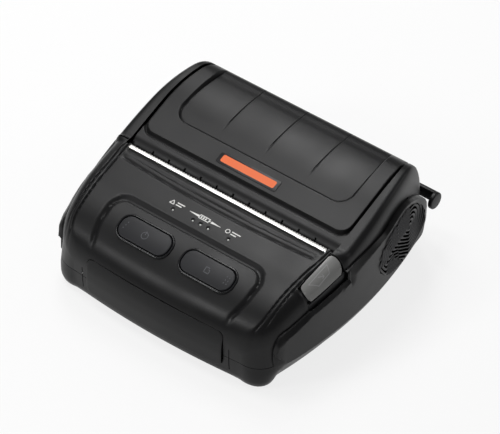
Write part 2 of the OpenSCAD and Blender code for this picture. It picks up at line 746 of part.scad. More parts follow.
// Power inlet, and data socket behind a rubber flap, on the left side
module dc_jack() color("#17171a") difference() {
    box([-69.6, 4.4, 15.8], [-60.4, 11.4, 23.8]);
    along_x(-80, -62, [7.9, 19.8]) circle(2.8, $fn = 32);
}
module usb_port() color("#b9bcc0") difference() {
    box([-69.6, -6.2, 17.6], [-63, 1.8, 21.4]);
    box([-75, -5.5, 18.3], [-63.6, 1.1, 20.7]);
}
flap_z = [13.2, 28];
module port_cover() color("#1c1c1e") difference() {
    intersection() {
        difference() {
            prism(-guard_t, flap_z[0], flap_z[1]);
            prism(-0.3, 0, 40);
        }
        box([-80, -8.7, 10], [-60, 3.3, 30]);
    }
    translate([-74.4, -2.7, 24.6]) rotate([90, 0, 0])
        cylinder(r = 1, h = 6, center = true, $fn = 24);
}

// Sliding media guides, joined by a rack and pinion
guide_y = 1;
pinion_teeth = 10;
rack_pitch = PI;
rack_z = [3.5, 6.5];
pinion_r = pinion_teeth / 2;
guide_x = [55.4, 57];
module rack(x0, x1, shift) {
    n = floor((x1 - x0 - shift) / rack_pitch) - 1;
    polygon(concat([[x1, -3.9], [x0, -3.9]], [[x0, -1.25]],
        [for (i = [0:n]) let (c = x0 + shift + i * rack_pitch) each [[c - 1.15, -1.25], [c - 0.34, 0.95],
            [c + 0.34, 0.95], [c + 1.15, -1.25]]], [[x1, -1.25]]));
}
module guide_plate(foot_z) {
    along_x(guide_x[0], guide_x[1]) difference() {
        union() {
            polygon([[-8, foot_z], [-5.3, foot_z], [-5.3, 30.6], [20, 30.6], [20, 35], [-6.5, 35],
                [-8, 33.5]]);
            translate(roll_c) circle(10, $fn = 48);
        }
        translate(roll_c) circle(3, $fn = 32);
    }
    along_x(guide_x[0] - 3.6, guide_x[0] + eps, roll_c) difference() {
        circle(5.8, $fn = 48);
        circle(3, $fn = 32);
    }
}
module guide_right() color("#4a4a4d") {
    guide_plate(rack_z[0]);
    translate([0, guide_y - pinion_r, rack_z[0]]) linear_extrude(rack_z[1] - rack_z[0])
        rack(-6.2, 57, 6.2);
}
module guide_left() color("#4a4a4d") {
    mirror([1, 0, 0]) guide_plate(rack_z[1] + 0.3);
    translate([0, guide_y + pinion_r, rack_z[0]]) linear_extrude(rack_z[1] - rack_z[0])
        rotate(180) rack(-6.2, 57, 6.2);
    box([-57, guide_y + pinion_r + 1.3, rack_z[0] + 1],
        [-53, guide_y + pinion_r + 2.2, rack_z[1] + 1.3]);
    box([-57, -8, rack_z[1] + 0.3], [-53, guide_y + pinion_r + 2.2, rack_z[1] + 1.3]);
}
module guide_pinion() color("#d9d6cc") translate([0, guide_y, rack_z[0]]) difference() {
    linear_extrude(rack_z[1] - rack_z[0]) gear_2d(pinion_teeth, 1, 90 + 18, 0.1);
    translate([0, 0, -1]) cylinder(r = 2.06, h = 9, $fn = 32);
}
module media_sensor() color("#121214") box([-5, -4.3, 30], [5, -2.9, 33]);

// Strap lugs at the rear corners
lug_c = [67.5, 25];
lug_r = 4.6;
module strap_lug() {
    difference() {
        box([50, rear_y - 4, 21], [53, 69, 29]);
        case_space(0, 10, far);
    }
    box([50, 68.6, 21.6], [63, 70.8, 28.6]);
    rod_x(lug_r, 62.7, 65.2, lug_c);
}
module strap_lug_right() color("#3a3a3c") strap_lug();
module strap_lug_left() color("#3a3a3c") mirror([1, 0, 0]) strap_lug();

// Rubber feet and case screws
module feet() color("#151516") both() for (p = [[44, -60], [44, 56]])
    translate([p[0], p[1], 0]) cylinder(r = 5, h = base_z, $fn = 48);
module case_screws() color("#77797c") screw_places() {
    translate([0, 0, 3.2]) cylinder(r = 2.7, h = 1.4, $fn = 32);
    translate([0, 0, 4.5]) cylinder(r = screw_r, h = 17, $fn = 24);
}

lower_case();
upper_case();
guard_right();
guard_left();
media_tub();
tear_bar();
print_frame();
gear_bracket();
print_head();
head_heatsink();
head_springs();
head_ribbon();
motor();
motor_pinion();
idler_gear();
platen_shaft();
platen_roller();
platen_gear();
cover_shell();
cover_frame();
platen_bushes();
badge_plate();
hinge_pins();
cover_spring();
release_button();
release_face();
release_spring();
latch_bar();
power_button();
feed_button();
button_rims();
control_board();
key_switches();
lamp_lenses();
main_board();
radio_module();
buzzer();
battery_bay();
battery_pack();
battery_panel();
battery_contacts();
dc_jack();
usb_port();
port_cover();
guide_right();
guide_left();
guide_pinion();
media_sensor();
strap_lug_right();
strap_lug_left();
feet();
case_screws();
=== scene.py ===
import math

import bmesh
import bpy
from mathutils import Matrix, Vector


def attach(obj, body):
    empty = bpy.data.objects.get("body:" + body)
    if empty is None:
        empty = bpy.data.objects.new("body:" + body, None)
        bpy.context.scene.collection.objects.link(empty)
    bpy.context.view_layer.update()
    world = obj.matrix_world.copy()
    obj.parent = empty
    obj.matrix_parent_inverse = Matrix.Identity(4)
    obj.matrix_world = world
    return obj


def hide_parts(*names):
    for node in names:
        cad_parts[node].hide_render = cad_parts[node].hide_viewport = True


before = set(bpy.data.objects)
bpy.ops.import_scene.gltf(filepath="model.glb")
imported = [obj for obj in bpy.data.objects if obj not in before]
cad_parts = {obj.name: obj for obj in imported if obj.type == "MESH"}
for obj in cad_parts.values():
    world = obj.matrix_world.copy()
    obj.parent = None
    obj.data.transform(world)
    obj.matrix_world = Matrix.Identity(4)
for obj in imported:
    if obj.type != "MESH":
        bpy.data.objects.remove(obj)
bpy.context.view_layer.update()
bpy.ops.object.select_all(action="DESELECT")

# The view. The printer lies flat and is seen from its front right, from well above,
# through a long lens, so that its sides stay almost parallel.
view_azimuth, view_height = math.radians(38), math.radians(43.3)
across = Vector((math.cos(view_azimuth), math.sin(view_azimuth), 0))
towards = Vector((math.sin(view_azimuth) * math.cos(view_height),
                  -math.cos(view_azimuth) * math.cos(view_height), math.sin(view_height)))
upwards = towards.cross(across)
tear_middle = Vector((0, -0.0135, 0.0505))
view_middle = tear_middle + across * 0.010697 - upwards * 0.009845
bpy.ops.object.camera_add(location=view_middle + towards * 1.42)
camera = bpy.context.object
camera.rotation_euler = Matrix((across, upwards, towards)).transposed().to_euler()
camera.data.lens = 216
camera.data.sensor_width = 36
camera.data.clip_end = 20
bpy.context.scene.camera = camera

# The studio. A pale sheet runs under the printer and far behind it. Three soft boxes hang over
# it in a row, two white cards light its shoulders from behind, and the room itself is dim.
def new_paint(name):
    paint = bpy.data.materials.new(name)
    paint.use_nodes = True
    return paint, paint.node_tree.nodes, paint.node_tree.links


bpy.ops.mesh.primitive_plane_add(size=8)
floor = bpy.context.object
floor.name = "paper_sheet"
floor_paint, floor_nodes, floor_links = new_paint("pale_sheet")
floor_shader = floor_nodes["Principled BSDF"]
floor_shader.inputs["Base Color"].default_value = (0.86, 0.86, 0.86, 1)
floor_shader.inputs["Roughness"].default_value = 0.9
seen = floor_nodes.new("ShaderNodeLightPath")
shown = seen.outputs["Is Camera Ray"]
for kind in ("Is Glossy Ray", "Is Transmission Ray"):
    either = floor_nodes.new("ShaderNodeMath")
    either.operation = "MAXIMUM"
    floor_links.new(shown, either.inputs[0])
    floor_links.new(seen.outputs[kind], either.inputs[1])
    shown = either.outputs["Value"]
share = floor_nodes.new("ShaderNodeMath")
share.operation = "MULTIPLY"
share.inputs[1].default_value = 0.8
floor_links.new(shown, share.inputs[0])
white = floor_nodes.new("ShaderNodeEmission")
white.inputs["Color"].default_value = (1, 1, 1, 1)
white.inputs["Strength"].default_value = 1.0
blend = floor_nodes.new("ShaderNodeMixShader")
floor_links.new(share.outputs["Value"], blend.inputs["Fac"])
floor_links.new(floor_shader.outputs["BSDF"], blend.inputs[1])
floor_links.new(white.outputs["Emission"], blend.inputs[2])
floor_links.new(blend.outputs["Shader"], floor_nodes["Material Output"].inputs["Surface"])
floor.data.materials.append(floor_paint)
room = bpy.data.worlds.new("studio")
bpy.context.scene.world = room
room.use_nodes = True
room_light = room.node_tree.nodes["Background"]
room_light.inputs["Color"].default_value = (1, 1, 1, 1)
room_light.inputs["Strength"].default_value = 0.22
for name, place, aim, size, long, power in (
        ("soft_box_rear", (-0.31, 0.36, 0.77), (0, 0, 0.04), 0.2, 0.40, 2.7),
        ("soft_box_middle", (-0.29, -0.03, 0.84), (0, 0, 0.04), 0.2, 0.42, 2.8),
        ("soft_box_front", (-0.36, -0.62, 0.51), (0.03, -0.06, 0.035), 0.18, 0.2, 1.6),
        ("white_card_left", (-0.75, 0.55, 0.30), (0, 0, 0.04), 0.35, 0.35, 0.8),
        ("white_card_right", (0.60, 0.60, 0.50), (0, 0, 0.04), 0.4, 0.4, 1.0)):
    bpy.ops.object.light_add(type="AREA", location=place)
    lamp = bpy.context.object
    lamp.name = name
    lamp.data.shape = "RECTANGLE"
    lamp.data.size, lamp.data.size_y = size, long
    lamp.data.energy = power
    lamp.rotation_euler = (Vector(place) - Vector(aim)).to_track_quat("Z", "Y").to_euler()
bpy.context.scene.view_settings.view_transform = "Standard"

# The upper case, moulded in one piece in charcoal plastic with a fine grain. It makes the
# console, both shoulders and the rear wall. The skin is laid out over rows and columns that
# follow its outline, and then gets its wall, its rims and its openings.
MM = 0.001
SIDE_R, SIDE_X, SIDE_Y = 228.0, 70.8 - 228.0, -5.5
FRONT_R, FRONT_BOW, FRONT_BOW_Y, FRONT_TIP = 17.0, 520.0, 449.0, -71.0
REAR_R, REAR_BOW, REAR_BOW_Y, REAR_TIP = 14.0, 700.0, -633.5, 66.5
SHOULDER_W, SHOULDER_FALL, SEAM_X = 8.3, 12.5, 62.5
NOSE_R, NOSE_Y, NOSE_Z = 20.0, -51.0, 19.86
BELLY_R, BELLY_Y, BELLY_Z = 67.0, -24.04, -18.64
CONSOLE_SLOPE, LID_SLOPE, BACK_SLOPE = 0.14054, 0.31914, 1 / 0.50076
ROOF_R, BACK_R, ROOF_Y, ROOF_Z = 90.0, 14.0, 41.36, 62.32
TAIL_R, TAIL_Y, TAIL_Z = 20.0, 46.5, 24.66
LID_FRONT = -11.2
PLATEAU_R, PLATEAU_REAR = 7.5, -40.4


def edge_x(y):
    return SIDE_X + math.sqrt(SIDE_R ** 2 - (y - SIDE_Y) ** 2)


def corner(radius, middle_y, bow_r, way):
    reach, far_reach = SIDE_R - radius, bow_r - radius
    dx, dy = -SIDE_X, middle_y - SIDE_Y
    gap = math.hypot(dx, dy)
    along = (reach ** 2 - far_reach ** 2 + gap ** 2) / (2 * gap)
    off = math.sqrt(reach ** 2 - along ** 2)
    cx = SIDE_X + along * dx / gap - way * off * dy / gap
    cy = SIDE_Y + along * dy / gap + way * off * dx / gap
    bow = math.hypot(cx, cy - middle_y)
    side = math.hypot(cx - SIDE_X, cy - SIDE_Y)
    join = (cx + radius * cx / bow, cy + radius * (cy - middle_y) / bow)
    return cx, cy, join[0], join[1], cy + radius * (cy - SIDE_Y) / side


FRONT_X, FRONT_Y, FRONT_END_X, FRONT_END_Y, FRONT_SIDE_Y = corner(FRONT_R, FRONT_BOW_Y, FRONT_BOW, -1)
REAR_X, REAR_Y, REAR_END_X, REAR_END_Y, REAR_SIDE_Y = corner(REAR_R, REAR_BOW_Y, REAR_BOW, 1)


def half_width(y):
    if y < FRONT_SIDE_Y:
        return FRONT_X + math.sqrt(max(0.0, FRONT_R ** 2 - (y - FRONT_Y) ** 2))
    if y > REAR_SIDE_Y:
        return REAR_X + math.sqrt(max(0.0, REAR_R ** 2 - (y - REAR_Y) ** 2))
    return edge_x(y)


def crown_z(y):
    if y < -62.47:
        return NOSE_Z + math.sqrt(max(0.0, NOSE_R ** 2 - (y - NOSE_Y) ** 2))
    if y < -33.365:
        return BELLY_Z + math.sqrt(BELLY_R ** 2 - (y - BELLY_Y) ** 2)
    if y < -10.6:
        return 47.71 + (y + 33.365) * CONSOLE_SLOPE
    if y < 14:
        return 50.4 + (y + 10) * LID_SLOPE
    if y < ROOF_Y:
        return ROOF_Z - ROOF_R + math.sqrt(ROOF_R ** 2 - (y - ROOF_Y) ** 2)
    if y < 53.88:
        return ROOF_Z - BACK_R + math.sqrt(BACK_R ** 2 - (y - ROOF_Y) ** 2)
    if y < 64.38:
        return 54.59 - (y - 53.88) * BACK_SLOPE
    return TAIL_Z + math.sqrt(max(0.0, TAIL_R ** 2 - (y - TAIL_Y) ** 2))


def seam_x(y):
    if y < SIDE_Y:
        return half_width(y) - SHOULDER_W
    return SEAM_X - 2.5 * (max(0.0, y - 14) / 33) ** 2


def held(value):
    return max(0.0, min(1.0, value))


def quarter(share):
    return math.sqrt(max(0.0, 1 - (1 - share) ** 2))


def step_up(value, span):
    share = held(value / span)
    return share * share * (3 - 2 * share)


def row_of(edge_y):
    bow, fall = 0.0, SHOULDER_FALL
    if edge_y < FRONT_SIDE_Y:
        share = (edge_y - FRONT_END_Y) / (FRONT_SIDE_Y - FRONT_END_Y)
        bow = (FRONT_END_Y - FRONT_TIP) * (1 - share) ** 1.5
        fall *= quarter(share)
    if edge_y > REAR_SIDE_Y:
        share = (REAR_END_Y - edge_y) / (REAR_END_Y - REAR_SIDE_Y)
        bow = (REAR_END_Y - REAR_TIP) * (1 - max(0.0, share)) ** 1.5
        fall *= quarter(share)
    return edge_y - bow, half_width(edge_y), fall


def case_point(edge_y, x, lift=0.0):
    middle_y, width, fall = row_of(edge_y)
    seam = min(seam_x(edge_y), width - 1.5)
    share = max(0.0, (abs(x) - seam) / (width - seam))
    full = held((edge_y + 13.2) / 1.2)
    drop = fall * (1 - max(0.0, 1 - min(1.0, share) ** (2.4 + 3.6 * full)) ** (0.5 - 0.17 * full))
    y = middle_y + (edge_y - middle_y) * (x / width) ** 2
    return Vector((x, y, crown_z(middle_y) - drop + lift)) * MM


def read_off(table, y):
    for (y0, v0), (y1, v1) in zip(table, table[1:]):
        if y <= y1:
            return v0 + (v1 - v0) * max(0.0, (y - y0) / (y1 - y0))
    return table[-1][1]


def hollow(gap, reach):
    return 0.5 + 0.5 * math.cos(math.pi * min(1.0, abs(gap) / reach))


def console_form(x, y):
    side = abs(x)
    ahead = y - (-24.1 + 1.9 * (x / 58) ** 2)
    ends = held((58.5 - side) / 2.5)
    ridge = hollow(ahead - 2.3, 2.3) if ahead < 2.3 else hollow(ahead - 2.3, 5.5)
    form = (0.32 * ridge - 0.42 * hollow(ahead - 0.5, 0.95) - 0.42 * hollow(ahead - 3.8, 0.95)) * ends
    form -= 0.7 * hollow(y + 16.1, 0.6) * held(59.5 - side)
    leg = read_off(((-70, 41.0), (-64, 41.6), (-56, 44.0), (-49, 44.4)), y)
    qx, qy = side - (leg - PLATEAU_R), y - (PLATEAU_REAR - PLATEAU_R)
    outside = (math.hypot(qx, qy) if qx > 0 and qy > 0 else max(qx, qy)) - PLATEAU_R
    fade = held((y + 68.5) / 7)
    reach = 3.2 if qy > qx else 2.2
    valley = hollow(outside, reach if outside > 0 else 1.7)
    form -= fade * (1.1 * valley + (0.12 if outside < 0 else 0.0))
    line = read_off(((-71, 55.4), (-68, 55.2), (-64, 55.5), (-59, 56.8), (-50, 57.5), (-45, 57.8),
                     (-30, 59.0), (-17, 60.5)), y)
    apart = read_off(((-68, 2.9), (-50, 2.5), (-17, 1.9)), y)
    if y < -14.5:
        form -= 0.62 * hollow(side - line, 0.6) + 0.55 * hollow(side - line - apart, 0.6)
        form += 0.12 * hollow(side - line - apart / 2, apart / 2)
    if x > 61:
        form += 0.5 * hollow(y + 41.0, 1.3) + 0.5 * hollow(y + 12.9, 1.4)
    return form


def corner_swell(x, y, z):
    if y > FRONT_SIDE_Y or abs(x) < FRONT_X:
        return 0.0, 0.0
    dx, dy = abs(x) - FRONT_X, y - FRONT_Y
    share = (math.degrees(math.atan2(-dy, dx)) - 12.6) / 71.9
    swell = 2.0 * math.sin(math.pi * held(share)) * held((24 - z) / 15)
    gap = math.hypot(dx, dy) + 1e-9
    return math.copysign(swell * dx / gap, x), swell * dy / gap


def only(piece):
    bpy.ops.object.select_all(action="DESELECT")
    piece.select_set(True)
    bpy.context.view_layer.objects.active = piece


def laid_grid(name, columns, rows, place):
    bpy.ops.mesh.primitive_grid_add(x_subdivisions=columns - 1, y_subdivisions=rows - 1, size=2)
    sheet = bpy.context.object
    sheet.name = sheet.data.name = name
    for v in sheet.data.vertices:
        i = round((v.co.x + 1) / 2 * (columns - 1))
        j = round((v.co.y + 1) / 2 * (rows - 1))
        v.co = place(i, j)
    return sheet


def edit(piece, kind):
    only(piece)
    bpy.ops.object.mode_set(mode="EDIT")
    bpy.ops.mesh.select_mode(type=kind)
    bpy.ops.mesh.select_all(action="DESELECT")
    return bmesh.from_edit_mesh(piece.data)


def leave_edit(piece):
    bmesh.update_edit_mesh(piece.data)
    bpy.ops.object.mode_set(mode="OBJECT")


def pick_faces(mesh, wanted):
    for face in mesh.faces:
        face.select_set(wanted(face.calc_center_median() / MM, face.normal))


def pick_edges(mesh, wanted):
    for edge in mesh.edges:
        edge.select_set(wanted(edge.verts[0].co / MM, edge.verts[1].co / MM))


def pick_rim(mesh, wanted=lambda place: True):
    for edge in mesh.edges:
        edge.select_set(edge.is_boundary and all(wanted(v.co / MM) for v in edge.verts))


def skirt(piece, wanted, height, swelling=False):
    mesh = edit(piece, "EDGE")
    pick_rim(mesh, wanted)
    bpy.ops.mesh.extrude_edges_move()
    mesh = bmesh.from_edit_mesh(piece.data)
    for v in mesh.verts:
        if v.select:
            v.co.z = height(v.co / MM) * MM
            if swelling:
                out_x, out_y = corner_swell(*(v.co / MM))
                v.co.x += out_x * MM
                v.co.y += out_y * MM
    leave_edit(piece)


def wall_in(piece, thickness):
    only(piece)
    wall = piece.modifiers.new("wall", "SOLIDIFY")
    wall.thickness = thickness * MM
    wall.offset = -1
    wall.use_even_offset = True
    wall.thickness_clamp = 1.5
    bpy.ops.object.modifier_apply(modifier=wall.name)


def block(one, other, name="block"):
    low, high = (Vector([pick(a, b) for a, b in zip(one, other)]) * MM for pick in (min, max))
    bpy.ops.mesh.primitive_cube_add(size=1, location=(low + high) / 2)
    solid = bpy.context.object
    solid.name = solid.data.name = name
    solid.scale = high - low
    bpy.ops.object.transform_apply(location=True, rotation=True, scale=True)
    return solid


def rod(radius, start, end, name="rod", sides=32):
    start, end = Vector(start) * MM, Vector(end) * MM
    turn = (end - start).to_track_quat("Z", "Y").to_euler()
    bpy.ops.mesh.primitive_cylinder_add(vertices=sides, radius=radius * MM,
                                        depth=(end - start).length, location=(start + end) / 2,
                                        rotation=turn)
    solid = bpy.context.object
    solid.name = solid.data.name = name
    bpy.ops.object.transform_apply(location=True, rotation=True, scale=True)
    return solid


def round_edges(piece, wanted, radius, steps=4):
    mesh = edit(piece, "EDGE")
    pick_edges(mesh, wanted)
    bpy.ops.mesh.bevel(offset=radius * MM, segments=steps, affect="EDGES", clamp_overlap=True)
    leave_edit(piece)


def joined(*pieces, name=None):
    bpy.ops.object.select_all(action="DESELECT")
    for piece in pieces:
        piece.select_set(True)
    bpy.context.view_layer.objects.active = pieces[0]
    if len(pieces) > 1:
        bpy.ops.object.join()
    bpy.ops.object.transform_apply(location=True, rotation=True, scale=True)
    whole = bpy.context.object
    if name:
        whole.name = whole.data.name = name
    return whole


def cut(piece, *tools):
    tool = joined(*tools)
    only(piece)
    knife = piece.modifiers.new("knife", "BOOLEAN")
    knife.operation = "DIFFERENCE"
    knife.solver = "EXACT"
    knife.object = tool
    bpy.ops.object.modifier_apply(modifier=knife.name)
    bpy.data.objects.remove(tool)


def smooth(piece, angle=32):
    only(piece)
    bpy.ops.object.shade_smooth_by_angle(angle=math.radians(angle))


def soften(piece, width, steps=2, angle=40):
    only(piece)
    edge = piece.modifiers.new("soft_edge", "BEVEL")
    edge.width = width * MM
    edge.segments = steps
    edge.limit_method = "ANGLE"
    edge.angle_limit = math.radians(angle)
    bpy.ops.object.modifier_apply(modifier=edge.name)
    smooth(piece)


def ranged(nodes, links, source, low, high, start=0.0, end=1.0):
    span = nodes.new("ShaderNodeMapRange")
    for socket, value in (("From Min", start), ("From Max", end), ("To Min", low), ("To Max", high)):
        span.inputs[socket].default_value = value
    links.new(source, span.inputs["Value"])
    return span.outputs["Result"]


def two_tone(nodes, links, source, one, other):
    tone = nodes.new("ShaderNodeMix")
    tone.data_type = "RGBA"
    tone.inputs["A"].default_value = (*one, 1)
    tone.inputs["B"].default_value = (*other, 1)
    links.new(source, tone.inputs["Factor"])
    return tone


def pressed_in(nodes, links, source, strength, depth):
    bump = nodes.new("ShaderNodeBump")
    bump.inputs["Strength"].default_value = strength
    bump.inputs["Distance"].default_value = depth * MM
    links.new(source, bump.inputs["Height"])
    links.new(bump.outputs["Normal"], nodes["Principled BSDF"].inputs["Normal"])


def moulded(name, colour, gloss, grain=0.16, relief=0.018, edge_highlight=0.25):
    paint, nodes, links = new_paint(name)
    shader = nodes["Principled BSDF"]
    shader.inputs["Specular IOR Level"].default_value = 0.22
    place = nodes.new("ShaderNodeTexCoord")
    cloud = nodes.new("ShaderNodeTexNoise")
    cloud.inputs["Scale"].default_value = 38
    cloud.inputs["Detail"].default_value = 5
    links.new(place.outputs["Object"], cloud.inputs["Vector"])
    tone = two_tone(nodes, links, cloud.outputs["Fac"],
                    [c * 0.93 for c in colour], [c * 1.08 for c in colour])
    # Painted edge highlight: convex edges, found by pointiness, are made lighter, standing in for the light
    # that catches them.
    edges = nodes.new("ShaderNodeNewGeometry")
    edge_highlight_share = ranged(nodes, links, edges.outputs["Pointiness"], 0.0, edge_highlight, 0.52, 0.62)
    edge_highlight_tone = two_tone(nodes, links, edge_highlight_share, colour, [min(1.0, c * 1.6 + 0.015) for c in colour])
    links.new(tone.outputs["Result"], edge_highlight_tone.inputs["A"])
    links.new(edge_highlight_tone.outputs["Result"], shader.inputs["Base Color"])
    rough = ranged(nodes, links, cloud.outputs["Fac"], gloss - 0.04, gloss + 0.05, 0.3, 0.7)
    links.new(rough, shader.inputs["Roughness"])
    if relief:
        pores = nodes.new("ShaderNodeTexVoronoi")
        pores.inputs["Scale"].default_value = 1 / (grain * MM) / 2.4
        links.new(place.outputs["Object"], pores.inputs["Vector"])
        pressed_in(nodes, links, pores.outputs["Distance"], 0.35, relief)
    return paint


def dress(piece, paint, body):
    piece.data.materials.clear()
    piece.data.materials.append(paint)
    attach(piece, body)


case_plastic = moulded("charcoal_plastic", (0.0062, 0.0062, 0.0066), 0.37)
rows = [FRONT_END_Y + (FRONT_SIDE_Y - FRONT_END_Y) * (k / 24) ** 1.8 for k in range(25)]
rows += [FRONT_SIDE_Y + (-43.6 - FRONT_SIDE_Y) * k / 16 for k in range(1, 17)]
rows += [-43.6 + 0.42 * k for k in range(1, 18)]
rows += [-36.46 + (-25.8 + 36.46) * k / 12 for k in range(1, 13)]
rows += [-25.8 + 0.4 * k for k in range(1, 17)]
rows += [-18.4, -17.2, -16, -14.8, -13.7, -12.5, LID_FRONT]
rows += [LID_FRONT + (REAR_SIDE_Y - LID_FRONT) * k / 42 for k in range(1, 43)]
rows += [REAR_SIDE_Y + (REAR_END_Y - REAR_SIDE_Y) * (1 - (1 - k / 18) ** 1.8) for k in range(1, 19)]
near = [0.36 * k for k in range(16)]
inner_count = 62
shoulder_steps = [k * 0.045 for k in range(1, 12)]
shoulder_steps += [0.495 + 0.505 * math.sin(math.pi / 2 * k / 11) for k in range(1, 12)]


def columns_of(seam, width):
    half = [(seam - near[-1]) * k / inner_count for k in range(inner_count)]
    half += [seam - n for n in reversed(near)]
    half += [seam + (width - seam) * s for s in shoulder_steps]
    return [-x for x in reversed(half[1:])] + half


upper_columns = len(columns_of(60.0, 68.0))
placed_columns = []
for y in rows:
    width = half_width(y)
    placed_columns.append(columns_of(min(seam_x(y), width - 1.5), width))


def upper_place(i, j):
    x, y = placed_columns[j][i], rows[j]
    middle_y = row_of(y)[0]
    return case_point(y, x, console_form(x, middle_y) if y < -14 else 0.0)


upper = laid_grid("upper_case_skin", upper_columns, len(rows), upper_place)
mesh = edit(upper, "FACE")
pick_faces(mesh, lambda c, n: LID_FRONT < c.y < 55 and abs(c.x) < seam_x(c.y) - 0.02)
bpy.ops.mesh.delete(type="FACE")
mesh = bmesh.from_edit_mesh(upper.data)
pick_faces(mesh, lambda c, n: c.y > 50 and abs(c.x) < seam_x(min(c.y, REAR_SIDE_Y)) - 0.02)
bpy.ops.mesh.bisect(plane_co=(0, 0, 39.6 * MM), plane_no=(0, 0, 1), clear_outer=True)
leave_edit(upper)
skirt(upper, lambda p: (abs(p.x) > half_width(p.y) - 0.3 or (p.y < -60 and p.z < 22)
                        or (p.y > 60 and p.z < 30)), lambda p: 14.15, swelling=True)
wall_in(upper, 2.2)


def tablet(name, length, width, height, radius, steps=8):
    bpy.ops.mesh.primitive_cube_add(size=1)
    solid = bpy.context.object
    solid.name = solid.data.name = name
    solid.scale = Vector((length, width, height)) * MM
    bpy.ops.object.transform_apply(location=True, rotation=True, scale=True)
    round_edges(solid, lambda a, b: abs(a.x - b.x) + abs(a.y - b.y) < 0.01, radius, steps)
    return solid


KEY_X, KEY_Y, KEY_TILT = 18.9, -52.1, math.radians(24.757)
KEY_Z = crown_z(KEY_Y)


def lean(piece, x, lift=0.0):
    turn = Matrix.Rotation(KEY_TILT, 4, "X")
    place = Matrix.Translation(Vector((x, KEY_Y, KEY_Z)) * MM) @ turn
    piece.data.transform(place @ Matrix.Translation((0, 0, lift * MM)))


key_holes = []
for x in (-KEY_X, KEY_X):
    hole = tablet("key_hole", 31.0, 13.2, 14, 5.7)
    lean(hole, x)
    key_holes.append(hole)


def mouth_tool():
    tool = tablet("battery_mouth", 82.5, 20.35, 30, 3.2)
    tool.data.transform(Matrix.Translation((0, -0.075, 0.017525)) @ Matrix.Rotation(math.pi / 2, 4, "X"))
    return tool


LAMPS, LAMP_Y = (-16.7, -4.6, 0.0, 4.6, 16.7), -34
lamp_holes = [rod(1.2, (x, LAMP_Y, 44), (x, LAMP_Y, 52)) for x in LAMPS]
bar_bed = block((-59.3, -15.5, 49.2), (59.3, -12.0, 60))
ear_slots = [block((side * 60.4, -13.7, 45), (side * 62.4, -9, 60)) for side in (-1, 1)]
release_bed = block((61.4, -39.5, 32.3), (80, -14.3, 60))
data_mouth = block((-80, -6.8, 17), (-66, 2.4, 22))
inlet_mouth = block((-80, 4.2, 15.6), (-66, 11.6, 24))
SLIT_IN, SLIT_OUT, SLIT_FRONT, SLIT_REAR = 44.3, 44.75, -74, -68.4


def slits(low, high):
    return [block((side * SLIT_IN, SLIT_FRONT, low), (side * SLIT_OUT, SLIT_REAR, high))
            for side in (1, -1)]


cut(upper, bar_bed, *ear_slots, release_bed, data_mouth, inlet_mouth, *slits(8, 19.6), mouth_tool(),
    *key_holes, *lamp_holes)
paper_slot = block((-60.4, -12.8, 40), (60.4, -8, 60))
seam_cut = block((-72, -11.6, 41), (-62.6, -10.8, 60))
cut(upper, paper_slot, seam_cut)
PIN_Y, PIN_Z = 57, 42.5
cut(upper, rod(4.3, (-58.6, PIN_Y, PIN_Z), (58.6, PIN_Y, PIN_Z), sides=40))
smooth(upper, 36)
dress(upper, case_plastic, "case")
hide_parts("upper_case")

# The lower case, a shallow tray in the same charcoal plastic. Its sides lean in towards the
# table, its bottom edge is rounded, and four screws in deep bores hold it to the upper case.


def arc(cx, cy, radius, start, end, count):
    a0 = math.atan2(start[1] - cy, start[0] - cx)
    a1 = math.atan2(end[1] - cy, end[0] - cx)
    return [(cx, cy, radius, a0 + (a1 - a0) * k / count) for k in range(count)]


front_side = (half_width(FRONT_SIDE_Y), FRONT_SIDE_Y)
rear_side = (half_width(REAR_SIDE_Y), REAR_SIDE_Y)
front_join, rear_join = (FRONT_END_X, FRONT_END_Y), (REAR_END_X, REAR_END_Y)
half_run = arc(0, FRONT_BOW_Y, FRONT_BOW, (0, FRONT_TIP), front_join, 22)
half_run += arc(FRONT_X, FRONT_Y, FRONT_R, front_join, front_side, 14)
half_run += arc(SIDE_X, SIDE_Y, SIDE_R, front_side, rear_side, 44)
half_run += arc(REAR_X, REAR_Y, REAR_R, rear_side, rear_join, 14)
half_run += arc(0, REAR_BOW_Y, REAR_BOW, rear_join, (0, REAR_TIP), 22)
half_run.append((0, REAR_BOW_Y, REAR_BOW, math.pi / 2))


def around(k, inset, narrow):
    last = len(half_run) - 1
    side = 1 if k <= last else -1
    cx, cy, radius, angle = half_run[k if k <= last else 2 * last - k]
    reach = radius - inset
    return side * narrow * (cx + reach * math.cos(angle)), cy + reach * math.sin(angle)


TRAY_LEVELS = ((0.9, 3.0, 0.951), (1.0, 2.5, 0.953), (2.2, 0.9, 0.957), (4.4, 0.15, 0.962),
               (5.6, 0.15, 0.971), (8.0, 0.08, 0.986), (10.4, 0.0, 1.0), (12.0, 0.0, 1.0),
               (13.85, 0.0, 1.0))
CORNER_LEVELS = ((0.9, 2.3), (1.05, 1.8), (2.2, 0.8), (4.0, 0.2), (5.2, 0.0))


def tray_place(i, j):
    z, inset, narrow = TRAY_LEVELS[j]
    corner_z, corner_inset = CORNER_LEVELS[j] if j < len(CORNER_LEVELS) else (z, 0.0)
    x, y = around(i, inset, narrow)
    corner_x, corner_y = around(i, corner_inset, 1)
    full_x, full_y = around(i, 0, 1)
    bump = step_up(min((abs(full_x) - 46.0) / 6.0, (-54.0 - full_y) / 12.0), 1.0)
    x, y, z = x + (corner_x - x) * bump, y + (corner_y - y) * bump, z + (corner_z - z) * bump
    out_x, out_y = corner_swell(full_x, full_y, z)
    return Vector((x + out_x, y + out_y, z)) * MM


